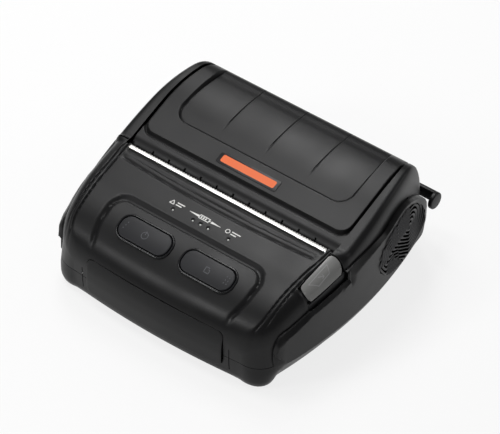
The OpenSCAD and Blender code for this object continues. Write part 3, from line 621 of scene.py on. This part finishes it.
tray = laid_grid("lower_case_tray", 2 * len(half_run) - 1, len(TRAY_LEVELS), tray_place)
edit(tray, "VERT")
bpy.ops.mesh.select_all(action="SELECT")
bpy.ops.mesh.remove_doubles(threshold=0.00002)
bpy.ops.mesh.select_all(action="DESELECT")
bpy.ops.mesh.select_mode(type="EDGE")
pick_rim(bmesh.from_edit_mesh(tray.data), lambda p: p.z < 5)
bpy.ops.mesh.edge_face_add()
bpy.ops.mesh.inset(thickness=0.004)
leave_edit(tray)
wall_in(tray, 2.0)
SCREWS = ((52, -57), (-52, -57), (50.5, 56.2), (-50.5, 56.2))
label_bed = tablet("label_bed", 62, 34, 1.0, 3)
label_bed.data.transform(Matrix.Translation((0, 0.022, 0.00095)))
cut(tray, mouth_tool(), label_bed, *[rod(3.0, (x, y, -1), (x, y, 4.6)) for x, y in SCREWS])
cut(tray, *slits(6.5, 21))
smooth(tray, 30)
dress(tray, case_plastic, "case")
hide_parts("lower_case")

# The side guards, two tougher panels clipped over the sides. Each has a bevelled rim that is
# wide over the release button and narrow further back, and stands proud of the case.
GUARD_TOP = ((-60.6, 20.5), (-60.5, 23), (-59.6, 27.4), (-58.4, 29.6), (-57, 31.2), (-54.6, 32.3),
             (-51.5, 32.8), (-39.8, 36.2), (-11.3, 44.6), (-3, 45.6), (16, 46.3), (21, 47.8), (26.4, 49.4),
             (30.5, 49.8), (34.3, 49.4), (39, 48.1), (43, 46.1), (48, 43.1), (52.4, 39.7), (55.4, 36.4),
             (57.6, 32), (58.8, 27), (59.4, 22))
GUARD_FOOT = ((-60.6, 18), (-60.2, 14.5), (-58.6, 11.4), (-56, 10), (-50, 9.6), (50, 9.6), (54.5, 10.2),
              (57.6, 12.6), (59.4, 18))
RIM_WIDTH = ((-60.6, 0.9), (-58.5, 1.2), (-56, 2.8), (-50, 2.4), (-40, 1.7), (-30, 2.6), (-21, 4.7),
             (-13, 4.7), (-5, 3.6), (2, 2.8), (9, 1.9), (16, 1.1), (22, 0.8), (60, 0.8))
RELEASE_Y = (-39.2, -14.6)
NOTCH_LOW, NOTCH_HIGH = 36.1, 39.0


def notch_z(y):
    return NOTCH_LOW + (NOTCH_HIGH - NOTCH_LOW) * (y - RELEASE_Y[0]) / (RELEASE_Y[1] - RELEASE_Y[0])


guard_edge = list(GUARD_TOP + GUARD_FOOT[::-1])
right_edge = [p for p in GUARD_TOP if p[0] < RELEASE_Y[0] - 0.5]
right_edge += [(RELEASE_Y[0] - 0.5, NOTCH_LOW), (RELEASE_Y[0] - 0.45, notch_z(RELEASE_Y[0])),
               (RELEASE_Y[1] + 0.45, notch_z(RELEASE_Y[1])), (RELEASE_Y[1] + 0.5, 43.6)]
right_edge += [p for p in GUARD_TOP if p[0] > RELEASE_Y[1] + 0.5] + list(GUARD_FOOT[::-1])


def edge_gap(y, z, loop):
    best, inside = 1e9, False
    for (y0, z0), (y1, z1) in zip(loop, loop[1:] + loop[:1]):
        dy, dz = y1 - y0, z1 - z0
        share = held(((y - y0) * dy + (z - z0) * dz) / (dy * dy + dz * dz + 1e-12))
        best = min(best, math.hypot(y - y0 - share * dy, z - z0 - share * dz))
        if (z0 > z) != (z1 > z) and y < y0 + (z - z0) * dy / (z1 - z0):
            inside = not inside
    return best if inside else -best


def beside(y, z, proud, side):
    if y < FRONT_SIDE_Y:
        cx, cy = FRONT_X, FRONT_Y
    elif y > REAR_SIDE_Y:
        cx, cy = REAR_X, REAR_Y
    else:
        cx, cy = SIDE_X, SIDE_Y
    x = half_width(y)
    gap = math.hypot(x - cx, y - cy)
    out_x, out_y = corner_swell(x, y, z)
    if proud > 1 and y > 44:
        proud += 1.1 * (proud - 0.9) / 1.9 * step_up(y - 44, 12)
    return Vector((side * (x + out_x + proud * (x - cx) / gap), y + out_y + proud * (y - cy) / gap, z)) * MM


def guard_rise(y, z, side=-1):
    gap = max(0.0, edge_gap(y, z, right_edge if side > 0 else guard_edge))
    if z < read_off(GUARD_FOOT, y) + 8:
        width = 4.2
    else:
        width = read_off(RIM_WIDTH, y)
        if side > 0 and -41 < y < -12.5:
            width = 1.3
    return 0.9 + 1.9 * min(1.0, gap / width)


guard_ys = [-60.6 + 0.45 * k for k in range(17)] + [-53 + 1.1 * k for k in range(98)]
guard_ys += [54.4 + 0.45 * k for k in range(11)] + [59.4]
down_steps = [0.0, 0.35, 0.7, 1.1, 1.6, 2.1, 2.6, 3.1, 3.6, 4.2, 4.9]
up_steps = [0.0, 0.5, 1.0, 1.7, 2.5, 3.4, 4.2, 5.0]
middle_steps = 16


def guard_level(y, j):
    low, high = read_off(GUARD_FOOT, y), read_off(GUARD_TOP, y)
    scale = min(1.0, (high - low) / 14.0)
    if j < len(up_steps):
        return low + up_steps[j] * scale
    j -= len(up_steps)
    base, top = low + up_steps[-1] * scale, high - down_steps[-1] * scale
    if j < middle_steps:
        return base + (top - base) * (j + 1) / (middle_steps + 1)
    j -= middle_steps
    return high - down_steps[len(down_steps) - 1 - j] * scale


guard_columns = len(guard_ys) + 2
guard_rows = len(up_steps) + middle_steps + len(down_steps) + 2
for side, name in ((1, "guard_right"), (-1, "guard_left")):
    def guard_place(i, j):
        if side < 0:
            i = guard_columns - 1 - i
        y = guard_ys[max(0, min(len(guard_ys) - 1, i - 1))]
        z = guard_level(y, max(0, min(guard_rows - 3, j - 1)))
        rim = i in (0, guard_columns - 1) or j in (0, guard_rows - 1)
        return beside(y, z, -0.3 if rim else guard_rise(y, z, side), side)

    guard = laid_grid(name + "_panel", guard_columns, guard_rows, guard_place)
    wall_in(guard, 0.7)
    if side < 0:
        cut(guard, block((-80, -9, 12.6), (-60, 14.2, 28.5)))
    else:
        notch = block((60, RELEASE_Y[0] - 0.5, NOTCH_LOW), (80, RELEASE_Y[1] + 0.5, 60), "notch")
        mesh = edit(notch, "VERT")
        for v in mesh.verts:
            if v.co.z < 0.04 and v.co.y > -0.03:
                v.co.z = NOTCH_HIGH * MM
        leave_edit(notch)
        cut(guard, notch)
    smooth(guard, 24)
    dress(guard, case_plastic, "case")
    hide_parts(name)

# The grips, a patch of fine ribs moulded into each guard. The ribs bend round a spine like the
# lines of a fingertip and stand a little proud, so that the hand holds the printer safely.
GRIP = [(8.9, 30.1), (9.4, 34.5), (11.2, 38.4), (15.5, 42.3), (21.4, 45.2), (28, 46.9), (34, 47.2),
        (40, 45.2), (46.7, 40.6), (52, 34.4), (54, 28), (53, 21.5), (48, 17), (40, 15.4), (28, 15.4),
        (19, 17.2), (13.6, 20.4), (10, 25)]
SPINE = ((37, 33.2), (25.6, 32.8), (19.8, 31.8), (15.8, 28.1), (15.3, 23.7))
RIB_PITCH = 2.25


def rib_phase(y, z):
    best = None
    length = 0.0
    for k, ((y0, z0), (y1, z1)) in enumerate(zip(SPINE, SPINE[1:])):
        dy, dz = y1 - y0, z1 - z0
        span = math.hypot(dy, dz)
        along = ((y - y0) * dy + (z - z0) * dz) / span
        near = max(0.0 if k else -60.0, min(span if k < 3 else 60.0, along))
        gap = math.hypot(y - y0 - dy * near / span, z - z0 - dz * near / span)
        if best is None or gap < best[0]:
            best = (gap, length + near)
        length += span
    across, along = math.sqrt(best[0] ** 2 + 0.8), best[1]
    return math.hypot(min(along, 0.0), across) + 0.8 * max(along, 0.0)


def rib_share(y, z):
    return 0.5 + 0.5 * math.cos(2 * math.pi * rib_phase(y, z) / RIB_PITCH)


def grip_rise(y, z):
    if edge_gap(y, z, guard_edge) < 0.5:
        return -1.3
    inside = held((edge_gap(y, z, GRIP) + 0.3) / 0.8)
    return guard_rise(y, z) - 0.45 + inside * (0.53 + 0.65 * rib_share(y, z))


grip_plastic = moulded("grip_plastic", (0.017, 0.017, 0.018), 0.46, relief=0, edge_highlight=0.0)
grip_nodes, grip_links = grip_plastic.node_tree.nodes, grip_plastic.node_tree.links
grip_shader = grip_nodes["Principled BSDF"]
# Painted shade and painted light: from the rib height, the base colour goes almost black in the rib valleys
# and lighter on the rib tops, and the valleys lose their reflection.
rib_height = grip_nodes.new("ShaderNodeAttribute")
rib_height.attribute_name = "rib"
valley = ranged(grip_nodes, grip_links, rib_height.outputs["Fac"], 0.0, 1.0, 0.3, 0.8)
rib_light_and_shade = two_tone(grip_nodes, grip_links, valley, (0.0008, 0.0008, 0.0008), (0.045, 0.045, 0.047))
grip_links.new(rib_light_and_shade.outputs["Result"], grip_shader.inputs["Base Color"])
valley_shade_gleam = ranged(grip_nodes, grip_links, valley, 0.0, 0.3)
grip_links.new(valley_shade_gleam, grip_shader.inputs["Specular IOR Level"])
PATCH_Y, PATCH_LONG, PATCH_Z, PATCH_HIGH = 8.3, 46.3, 14.9, 33.0
grip_columns, grip_rows = 190, 136
for side, name in ((1, "grip_right"), (-1, "grip_left")):
    def grip_place(i, j):
        if side < 0:
            i = grip_columns - 1 - i
        y = PATCH_Y + PATCH_LONG * i / (grip_columns - 1)
        z = PATCH_Z + PATCH_HIGH * j / (grip_rows - 1)
        return beside(y, z, grip_rise(y, z), side)

    grip = laid_grid(name, grip_columns, grip_rows, grip_place)
    pick_rim(edit(grip, "EDGE"))
    bpy.ops.mesh.extrude_edges_move(TRANSFORM_OT_translate={"value": (-0.001 * side, 0, 0)})
    bpy.ops.mesh.edge_face_add()
    leave_edit(grip)
    smooth(grip, 50)
    # The rib height, kept on the points, drives the painted shade in the valleys and the painted light on
    # the rib tops.
    ribs = grip.data.attributes.new("rib", "FLOAT", "POINT")
    for v in grip.data.vertices:
        ribs.data[v.index].value = rib_share(v.co.y / MM, v.co.z / MM)
    dress(grip, grip_plastic, "case")

# The cover over the paper, a thick charcoal lid that turns on pins at its rear corners. A raised
# platform carries a sunk panel with two folds and a middle line, and a ribbed lip faces the bar.
def box_gap(x, y, half_x, low_y, radius):
    qx, qy = abs(x) - (half_x - radius), (low_y + radius) - y
    return math.hypot(max(qx, 0.0), max(qy, 0.0)) + min(max(qx, qy), 0.0) - radius


FOLDS = (-26.0, 0.0, 26.0)


def cover_form(x, y):
    draw = seam_x(y) - SEAM_X
    gap = box_gap(x, y, 60.8 + draw, -2.0, 5.5)
    form = -1.3 * step_up(gap, 0.7) - 0.9 * hollow(gap - 1.1, 1.1)
    form -= 1.9 * (max(0.0, -5.6 - y) / 4.4) ** 2
    inner = box_gap(x, y, 52.0 + draw * 0.6, 9.7, 8.0)
    ends = 1 - step_up(y - 43.0, 8.0)
    depth = (0.8 + 0.034 * max(0.0, y - 9.7)) * ends
    form -= depth * (1 - step_up(inner + 0.5, 0.6)) + 0.45 * hollow(inner + 0.2, 0.8) * ends
    if inner < -1:
        for fold in FOLDS:
            form -= 0.45 * hollow(x - fold, 0.5) * step_up(y - 14, 15) * (1 - step_up(y - 49, 4))
    return form


cover_ys = [-10, -9.8, -9.5, -9.1, -8.6, -8.0, -7.2, -6.2, -5.2, -4.5, -3.9]
cover_ys += [-3.4 + 0.35 * k for k in range(22)]
cover_ys += [4.8, 5.6, 6.4, 7.2, 8.0, 8.6] + [9.0 + 0.35 * k for k in range(26)]
cover_ys += [18.8 + 1.3 * k for k in range(27)] + [53.4 + 0.5 * k for k in range(14)] + [60.3]
cover_ys = sorted(set(cover_ys))
half_columns = [0.0, 0.15, 0.3, 0.45, 0.8] + [2.0 + 2.3 * k for k in range(10)]
half_columns += [24.6, 25.2, 25.55, 25.7, 25.85, 26.0, 26.15, 26.3, 26.45, 26.9, 27.6]
half_columns += [29.5 + 2.4 * k for k in range(6)] + [43.0] + [44.0 + 0.36 * k for k in range(50)]
cover_us = [-u for u in reversed(half_columns[1:])] + half_columns


def cover_x(u, y):
    half = seam_x(y) - 0.5
    side = abs(u)
    if side > 40:
        side = 40 + (side - 40) * (half - 40) / (half_columns[-1] - 40)
    return math.copysign(side, u)


def cover_place(i, j):
    y = cover_ys[j]
    x = cover_x(cover_us[i], y)
    return Vector((x, y, crown_z(y) + cover_form(x, y))) * MM


cover = laid_grid("cover_lid", len(cover_us), len(cover_ys), cover_place)
skirt(cover, lambda p: p.y < -9.95, lambda p: 47.0)
skirt(cover, lambda p: abs(p.x) > seam_x(p.y) - 0.52 and p.z > 41.5,
      lambda p: max(41.4, min(p.z - 0.3, crown_z(p.y) - 6)))
wall_in(cover, 1.9)
PIN_IN, PIN_OUT = 49, 57.4
for side in (-1, 1):
    knuckle = rod(3.0, (side * PIN_IN, PIN_Y, PIN_Z), (side * PIN_OUT, PIN_Y, PIN_Z), "knuckle", 40)
    web = block((side * PIN_IN, 54.5, PIN_Z), (side * PIN_OUT, 59.4, 45.6), "web")
    soften(web, 0.4)
    soften(knuckle, 0.4)
    cover = joined(cover, knuckle, web)
NOTCH_PITCH = 9.8
cut(cover, *[block((k * NOTCH_PITCH - 0.5, -12, 46.5), (k * NOTCH_PITCH + 0.5, -8.7, 52), "lip_notch")
             for k in range(-5, 6)])
smooth(cover, 30)
dress(cover, case_plastic, "cover")
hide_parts("cover_shell")

# The badge, a small glossy dark plate glued into a shallow bed in the platform. A plain orange
# bar is printed along it.
badge = tablet("badge_plate_blank", 36, 6.4, 0.9, 1.2)
soften(badge, 0.2)
BADGE_Y = 2.8
badge_turn = Matrix.Rotation(math.atan(LID_SLOPE), 4, "X")
badge_top = crown_z(BADGE_Y)
badge.data.transform(Matrix.Translation(Vector((0, BADGE_Y, badge_top - 0.25)) * MM) @ badge_turn)
badge_black = moulded("badge_black", (0.012, 0.012, 0.013), 0.3, relief=0)
dress(badge, badge_black, "cover")
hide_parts("badge_plate")
bar = tablet("badge_bar", 32, 4.0, 0.12, 0.9)
bar.data.transform(Matrix.Translation(Vector((0, BADGE_Y, badge_top)) * MM) @ badge_turn
                   @ Matrix.Translation((0, 0, 0.00022)))
bar_orange = moulded("signal_orange", (0.80, 0.15, 0.035), 0.38, relief=0, edge_highlight=0.0)
dress(bar, bar_orange, "cover")

# The battery panel, the curved front of the battery. It fills the mouth in the front wall, a
# little proud of it, and slides out forwards with the battery behind it.
PANEL_LOW, PANEL_HIGH, PANEL_HALF, PANEL_R = 7.6, 27.45, 41.0, 3.0
PANEL_BOW = FRONT_BOW + 1.2
panel_rows, panel_columns = 34, 61


def panel_place(i, j):
    share = j / (panel_rows - 1)
    share -= 0.05 * math.sin(2 * math.pi * share)
    z = PANEL_LOW + (PANEL_HIGH - PANEL_LOW) * share
    near_end = min(z - PANEL_LOW, PANEL_HIGH - z)
    half = PANEL_HALF - PANEL_R * (1 - quarter(min(1.0, near_end / PANEL_R)))
    x = half * (2 * i / (panel_columns - 1) - 1)
    bow = PANEL_BOW - math.sqrt(PANEL_BOW ** 2 - x * x)
    proud = 1.2 - 0.85 * step_up(z - 14, 13)
    y = FRONT_TIP - proud if z < NOSE_Z else NOSE_Y - math.sqrt((NOSE_R + proud) ** 2 - (z - NOSE_Z) ** 2)
    return Vector((x, y + bow, z)) * MM


panel = laid_grid("battery_front", panel_columns, panel_rows, panel_place)
wall_in(panel, 2.4)
soften(panel, 0.55, 3, 50)
smooth(panel, 35)
dress(panel, case_plastic, "battery")
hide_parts("battery_panel")

# The keys, two long caps with soft edges, each framed by a thin glossy black rim that is let
# into the console. Rows of small dots at the outer ends are felt with the finger.
key_plastic = moulded("key_plastic", (0.017, 0.0173, 0.0195), 0.4)
rim_gloss = moulded("rim_gloss", (0.010, 0.010, 0.011), 0.12, relief=0)
mark_grey = moulded("mark_grey", (0.075, 0.077, 0.085), 0.34, relief=0)
rims = []
for side, name in ((-1, "power"), (1, "feed")):
    cap = tablet(name + "_key", 29.4, 11.6, 3.3, 5.0)
    soften(cap, 0.55, 4)
    lean(cap, side * KEY_X, -0.95)
    dress(cap, key_plastic, name + "_key")
    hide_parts(name + "_button")
    rim = tablet(name + "_rim", 32.2, 14.4, 1.7, 6.3, 10)
    inner = tablet("inner", 30.0, 12.2, 4, 5.2, 10)
    cut(rim, inner)
    soften(rim, 0.5, 3, 60)
    lean(rim, side * KEY_X, -0.35)
    rims.append(rim)
    marks = []
    if side < 0:
        bpy.ops.mesh.primitive_torus_add(major_radius=1.75 * MM, minor_radius=0.2 * MM,
                                         major_segments=32, minor_segments=8)
        marks.append(bpy.context.object)
        marks.append(block((-0.2, 0.3, -0.2), (0.2, 2.3, 0.2), "power_bar"))
        dots = [(-11.2, 1.9), (-11.6, 0.2), (-12.0, -1.5)]
    else:
        for x0, y0, x1, y1 in ((-1.6, -1.7, -1.2, 1.5), (-1.6, -1.7, 1.5, -1.3), (1.1, -1.7, 1.5, 0.6),
                               (-1.6, 1.1, 0.6, 1.5), (0.4, 0.2, 1.5, 0.6)):
            marks.append(block((x0, y0, -0.2), (x1, y1, 0.2), "feed_sign"))
        dots = [(10.6 + dx, dy) for dx in (0, 1.5) for dy in (1.7, 0.0, -1.7)]
    for x, y in dots:
        bpy.ops.mesh.primitive_uv_sphere_add(segments=12, ring_count=8, radius=0.36 * MM,
                                             location=(x * MM, y * MM, 0))
        marks.append(bpy.context.object)
    sign = joined(*marks, name=name + "_sign")
    sign.data.transform(Matrix.Diagonal((1, 1, 0.4, 1)))
    lean(sign, side * KEY_X, 0.7)
    smooth(sign)
    dress(sign, mark_grey, name + "_key")
rim = joined(*rims, name="key_rims")
smooth(rim, 30)
dress(rim, rim_gloss, "case")
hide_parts("button_rims")

# The signs above the lamps, printed in white ink: a warning triangle, a battery between two
# wedges, and a ring with lines. They follow the slope of the console.
SIGN_Y, RING_X, RING_R, RING_PARTS = -30.3, 13.5, 1.1, 12
SIGN_LINES = ((-20.8, -1.1, -18.2, -1.1, 0.42), (-20.8, -1.1, -19.5, 1.1, 0.42),
              (-18.2, -1.1, -19.5, 1.1, 0.42), (-17.2, 0.7, -12.8, 0.7, 0.6),
              (-17.2, -0.7, -13.9, -0.7, 0.6), (-3.4, 1.0, 2.4, 1.0, 0.42),
              (-3.4, -1.0, 2.4, -1.0, 0.42), (-3.3, -1.1, -3.3, 1.1, 0.42),
              (2.3, -1.1, 2.3, 1.1, 0.42), (2.8, -0.4, 2.8, 0.4, 0.5),
              (-2.2, -0.6, -2.2, 0.6, 0.7), (-0.9, -0.6, -0.9, 0.6, 0.7), (0.4, -0.6, 0.4, 0.6, 0.7),
              (15.6, 0.7, 20.6, 0.7, 0.6), (15.6, -0.7, 18.8, -0.7, 0.6))


def laid_stroke(x0, y0, x1, y1, width):
    span = math.hypot(x1 - x0, y1 - y0)
    steps = max(2, int(span / 0.6))
    nx, ny = -(y1 - y0) / span * width / 2, (x1 - x0) / span * width / 2

    def stroke_place(i, j):
        share = i / steps
        way = 1 if j else -1
        x, y = x0 + (x1 - x0) * share + way * nx, SIGN_Y + y0 + (y1 - y0) * share + way * ny
        return Vector((x, y, crown_z(y) + console_form(x, y) + 0.035)) * MM

    return laid_grid("stroke", steps + 1, 2, stroke_place)


strokes = [laid_stroke(*line) for line in SIGN_LINES]
for k in range(8):
    for way in (-1, 1):
        tip, back = way * (9.2 - 0.7 * k), way * (8.5 - 0.7 * k)
        strokes.append(laid_stroke(tip, -0.1, back, -0.1, 0.25 + 0.13 * k))
ring = [(RING_X + RING_R * math.cos(turn), RING_R * math.sin(turn))
        for turn in [2 * math.pi * k / RING_PARTS for k in range(RING_PARTS + 1)]]
strokes += [laid_stroke(*one, *other, 0.4) for one, other in zip(ring, ring[1:])]
signs = joined(*strokes, name="lamp_signs")
wall_in(signs, 0.06)
white_ink = moulded("white_ink", (0.72, 0.72, 0.70), 0.5, relief=0, edge_highlight=0.0)
dress(signs, white_ink, "case")

# The release button. A pale translucent face lies in the right shoulder, flush with it, on a
# black body whose side shows above the guard. Faint lines on it show a cover that opens.
FACE_FRONT, FACE_REAR, FACE_IN, FACE_GAP, FACE_R = -38.9, -14.9, 62.1, 0.75, 2.3
LID_LINES = ((64.2, -34.5, 64.2, -20.5), (64.2, -34.5, 67.2, -30.5), (67.2, -30.5, 67.2, -22.5),
             (67.2, -22.5, 64.2, -20.5), (65.0, -28.5, 66.5, -25.5), (66.5, -25.5, 65.6, -25.9),
             (66.5, -25.5, 66.6, -26.9))
face_columns, face_rows = 25, 45


def face_point(i, j):
    share = j / (face_rows - 1)
    y = FACE_FRONT + (FACE_REAR - FACE_FRONT) * (share - 0.035 * math.sin(2 * math.pi * share))
    near_end = min(y - FACE_FRONT, FACE_REAR - y)
    pull = FACE_R * (1 - quarter(min(1.0, near_end / FACE_R)))
    low, high = FACE_IN + pull, half_width(y) - FACE_GAP - pull
    return case_point(y, low + (high - low) * i / (face_columns - 1), -0.05)


face = laid_grid("release_face_panel", face_columns, face_rows, face_point)
wall_in(face, 1.3)
soften(face, 0.35, 3, 50)
face_pale = moulded("release_pale", (0.21, 0.21, 0.205), 0.3, relief=0, edge_highlight=0.5)
dress(face, face_pale, "release")
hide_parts("release_face")
lid_lines = []
for x0, y0, x1, y1 in LID_LINES:
    def line_place(i, j):
        share = i / 10
        x, y = x0 + (x1 - x0) * share, y0 + (y1 - y0) * share
        span = math.hypot(x1 - x0, y1 - y0)
        way = 0.16 if j else -0.16
        return case_point(y + way * (x1 - x0) / span, x - way * (y1 - y0) / span)

    lid_lines.append(laid_grid("lid_line", 11, 2, line_place))
lid_sign = joined(*lid_lines, name="release_sign")
wall_in(lid_sign, 0.05)
sign_grey = moulded("sign_grey", (0.3, 0.3, 0.3), 0.4, relief=0, edge_highlight=0.0)
dress(lid_sign, sign_grey, "release")

# The tear bar, a strip of bright stainless steel let into the console in front of the slot.
# Its back edge is cut into fine teeth that tear the paper.
TEETH, BAR_HALF = 78, 59
bar_profile = [(-15.4, 49.3), (-15.4, 50.45), (-15.25, 50.62), (-13.75, 50.62)]


def bar_place(i, j):
    x = -BAR_HALF + BAR_HALF * i / TEETH
    if j < 4:
        y, z = bar_profile[j]
    else:
        y = -13.75 + (0.75 if i % 2 else 0.08)
        z = 50.5 if j == 4 else 49.3
    return Vector((x, y, z)) * MM


tear_bar = laid_grid("tear_bar_blade", 2 * TEETH + 1, 6, bar_place)
pick_rim(edit(tear_bar, "EDGE"))
bpy.ops.mesh.edge_face_add()
bpy.ops.mesh.select_all(action="SELECT")
bpy.ops.mesh.normals_make_consistent(inside=False)
leave_edit(tear_bar)
smooth(tear_bar, 20)


def steel(name, colour, gloss, along, streak=900.0):
    paint, nodes, links = new_paint(name)
    shader = nodes["Principled BSDF"]
    shader.inputs["Metallic"].default_value = 1.0
    place = nodes.new("ShaderNodeTexCoord")
    stretch = nodes.new("ShaderNodeMapping")
    stretch.inputs["Scale"].default_value = [0.04 if k == along else 1.0 for k in range(3)]
    links.new(place.outputs["Object"], stretch.inputs["Vector"])
    brushed = nodes.new("ShaderNodeTexNoise")
    brushed.inputs["Scale"].default_value = streak
    brushed.inputs["Detail"].default_value = 3
    links.new(stretch.outputs["Vector"], brushed.inputs["Vector"])
    lines = brushed.outputs["Fac"]
    tone = two_tone(nodes, links, lines, [c * 0.86 for c in colour], [min(1.0, c * 1.08) for c in colour])
    links.new(tone.outputs["Result"], shader.inputs["Base Color"])
    links.new(ranged(nodes, links, lines, gloss - 0.06, gloss + 0.1), shader.inputs["Roughness"])
    pressed_in(nodes, links, lines, 0.2, 0.01)
    return paint


bright_steel = steel("bright_steel", (0.86, 0.85, 0.82), 0.32, 0)
dress(tear_bar, bright_steel, "case")
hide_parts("tear_bar")

# The lamps, five small pale domes, each at the bottom of a dark dish in the console. They are
# the clear ends of light pipes that stand on the key board.
dishes, domes = [], []
for x in LAMPS:
    z = crown_z(LAMP_Y) + console_form(x, LAMP_Y)
    cup = rod(1.16, (x, LAMP_Y, z - 2.2), (x, LAMP_Y, z - 0.12), "lamp_cup", 32)
    mesh = edit(cup, "FACE")
    pick_faces(mesh, lambda c, n: n.z > 0.9)
    bpy.ops.mesh.inset(thickness=0.0002)
    bpy.ops.mesh.extrude_region_move(TRANSFORM_OT_translate={"value": (0, 0, -0.0009)})
    leave_edit(cup)
    dishes.append(cup)
    bpy.ops.mesh.primitive_uv_sphere_add(segments=20, ring_count=12, radius=0.56 * MM,
                                         location=(x * MM, LAMP_Y * MM, (z - 0.75) * MM))
    domes.append(bpy.context.object)
dish = joined(*dishes, name="lamp_dishes")
smooth(dish)
dress(dish, badge_black, "case")
dome = joined(*domes, name="lamp_domes")
smooth(dome, 60)
lens_pale = moulded("lens_pale", (0.75, 0.77, 0.74), 0.15, relief=0, edge_highlight=0.0)
dress(dome, lens_pale, "case")
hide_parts("lamp_lenses")

# The strap lugs at the rear corners, stubby posts moulded in one with the case. The flange at
# the end of each keeps the eye of a carrying strap from slipping off.
LUG_LOW, LUG_MIDDLE, LUG_HIGH = 21.8, 25, 28.4
for side, name in ((1, "right"), (-1, "left")):
    arm = block((side * 50, 68.6, LUG_LOW), (side * 63.2, 70.8, LUG_HIGH), "arm")
    web = block((side * 50, 64.0, LUG_LOW), (side * 53, 69.4, LUG_HIGH), "web")
    flange = rod(4.5, (side * 62.7, 67.5, LUG_MIDDLE), (side * 65.1, 67.5, LUG_MIDDLE), "flange", 48)
    soften(arm, 0.6, 3)
    soften(web, 0.6, 3)
    soften(flange, 0.7, 4)
    lug = joined(arm, web, flange, name="strap_lug_" + name + "_post")
    dress(lug, case_plastic, "case")
    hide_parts("strap_lug_" + name)

# The feet, four soft rubber pads glued under the lower case, and the screws in their bores,
# plated steel with a cross recess.
foot_rubber = moulded("foot_rubber", (0.014, 0.014, 0.014), 0.75, grain=0.1, edge_highlight=0.0)
FOOT_X, FOOT_FRONT, FOOT_REAR = 44, -60, 56
foot = rod(5.0, (FOOT_X, FOOT_FRONT, 0), (FOOT_X, FOOT_FRONT, 1.3), "rubber_feet", 48)
mesh = edit(foot, "FACE")
pick_faces(mesh, lambda c, n: n.z < -0.9)
bpy.ops.mesh.inset(thickness=0.0012)
bpy.ops.mesh.inset(thickness=0.0003)
mesh = bmesh.from_edit_mesh(foot.data)
for v in mesh.verts:
    if v.select:
        v.co.z += 0.00025
leave_edit(foot)
soften(foot, 0.3, 3)
feet = [foot]
for x, y in ((-FOOT_X, FOOT_FRONT), (FOOT_X, FOOT_REAR), (-FOOT_X, FOOT_REAR)):
    copy = foot.copy()
    copy.data = foot.data.copy()
    copy.data.transform(Matrix.Translation(((x - FOOT_X) * MM, (y - FOOT_FRONT) * MM, 0)))
    bpy.context.collection.objects.link(copy)
    feet.append(copy)
foot = joined(*feet)
dress(foot, foot_rubber, "case")
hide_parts("feet")
zinc_steel = steel("zinc_steel", (0.42, 0.43, 0.45), 0.3, 2)


def refinish(paint, *names):
    for name in names:
        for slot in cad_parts[name].material_slots:
            slot.material = paint


refinish(zinc_steel, "case_screws")

# The printing unit in the case: a pressed steel frame with its ceramic head on an aluminium
# heatsink, two springs, a flat cable, the motor and the gears that drive the platen.
satin_steel = steel("satin_steel", (0.5, 0.51, 0.53), 0.34, 0)
refinish(satin_steel, "print_frame", "gear_bracket", "latch_bar", "platen_shaft", "hinge_pins")
refinish(steel("spring_steel", (0.34, 0.35, 0.37), 0.28, 2),
         "head_springs", "cover_spring", "release_spring")
refinish(steel("raw_aluminium", (0.62, 0.63, 0.65), 0.42, 0), "head_heatsink")
refinish(steel("motor_can", (0.38, 0.38, 0.39), 0.3, 0), "motor")
refinish(steel("pinion_brass", (0.72, 0.5, 0.2), 0.28, 0), "motor_pinion")
refinish(steel("gold_contact", (0.8, 0.58, 0.22), 0.22, 2), "battery_contacts")
refinish(moulded("head_ceramic", (0.5, 0.49, 0.45), 0.25, relief=0.004), "print_head")
refinish(moulded("ribbon_film", (0.32, 0.14, 0.035), 0.3, relief=0.0), "head_ribbon")
refinish(moulded("gear_white", (0.55, 0.54, 0.5), 0.38, relief=0.006),
         "idler_gear", "platen_gear", "guide_pinion")
refinish(moulded("bush_grey", (0.03, 0.03, 0.03), 0.45, relief=0.01), "platen_bushes")

# The platen, a steel shaft in a sleeve of black silicone rubber, ground to a fine matte. It
# rides in the cover's frame and presses the paper on the head when the cover is closed.
roller_rubber = moulded("roller_rubber", (0.018, 0.018, 0.019), 0.68,
                        grain=0.06, relief=0.01, edge_highlight=0.0)
refinish(roller_rubber, "platen_roller")

# The paper well, its two sliding guides and the frame under the cover, all in a plain dark
# plastic with a coarser grain than the outside. The battery, the buzzer, the paper sensor and
# the body of the release button are moulded in a blacker one.
inner_plastic = moulded("inner_plastic", (0.028, 0.028, 0.03), 0.55, grain=0.3, relief=0.03, edge_highlight=0.1)
refinish(inner_plastic, "media_tub", "cover_frame", "battery_bay", "guide_right", "guide_left", "dc_jack")
refinish(moulded("black_part", (0.011, 0.011, 0.012), 0.42, edge_highlight=0.1),
         "buzzer", "battery_pack", "media_sensor", "release_button")

# The boards, green-black laminate with a woven look and solder-masked tracks, and the metal
# cans of the switches, the radio and the data socket.
board = moulded("board_green", (0.012, 0.045, 0.026), 0.35, grain=0.35, relief=0.01, edge_highlight=0.0)
board_nodes, board_links = board.node_tree.nodes, board.node_tree.links
tracks = board_nodes.new("ShaderNodeTexBrick")
tracks.inputs["Scale"].default_value = 260
tracks.inputs["Color1"].default_value = (0.012, 0.05, 0.028, 1)
tracks.inputs["Color2"].default_value = (0.01, 0.038, 0.022, 1)
tracks.inputs["Mortar"].default_value = (0.03, 0.09, 0.05, 1)
tracks.inputs["Mortar Size"].default_value = 0.03
board_place = board_nodes.new("ShaderNodeTexCoord")
board_links.new(board_place.outputs["Object"], tracks.inputs["Vector"])
board_links.new(tracks.outputs["Color"], board_nodes["Principled BSDF"].inputs["Base Color"])
refinish(board, "control_board", "main_board")
refinish(steel("tinned_can", (0.55, 0.56, 0.57), 0.36, 1), "key_switches", "radio_module", "usb_port")

# The flap over the data socket in the left side, a strip of soft black rubber. It is held at
# its foot, where it is thin enough to bend.
refinish(moulded("flap_rubber", (0.013, 0.013, 0.014), 0.7, grain=0.12, edge_highlight=0.05), "port_cover")
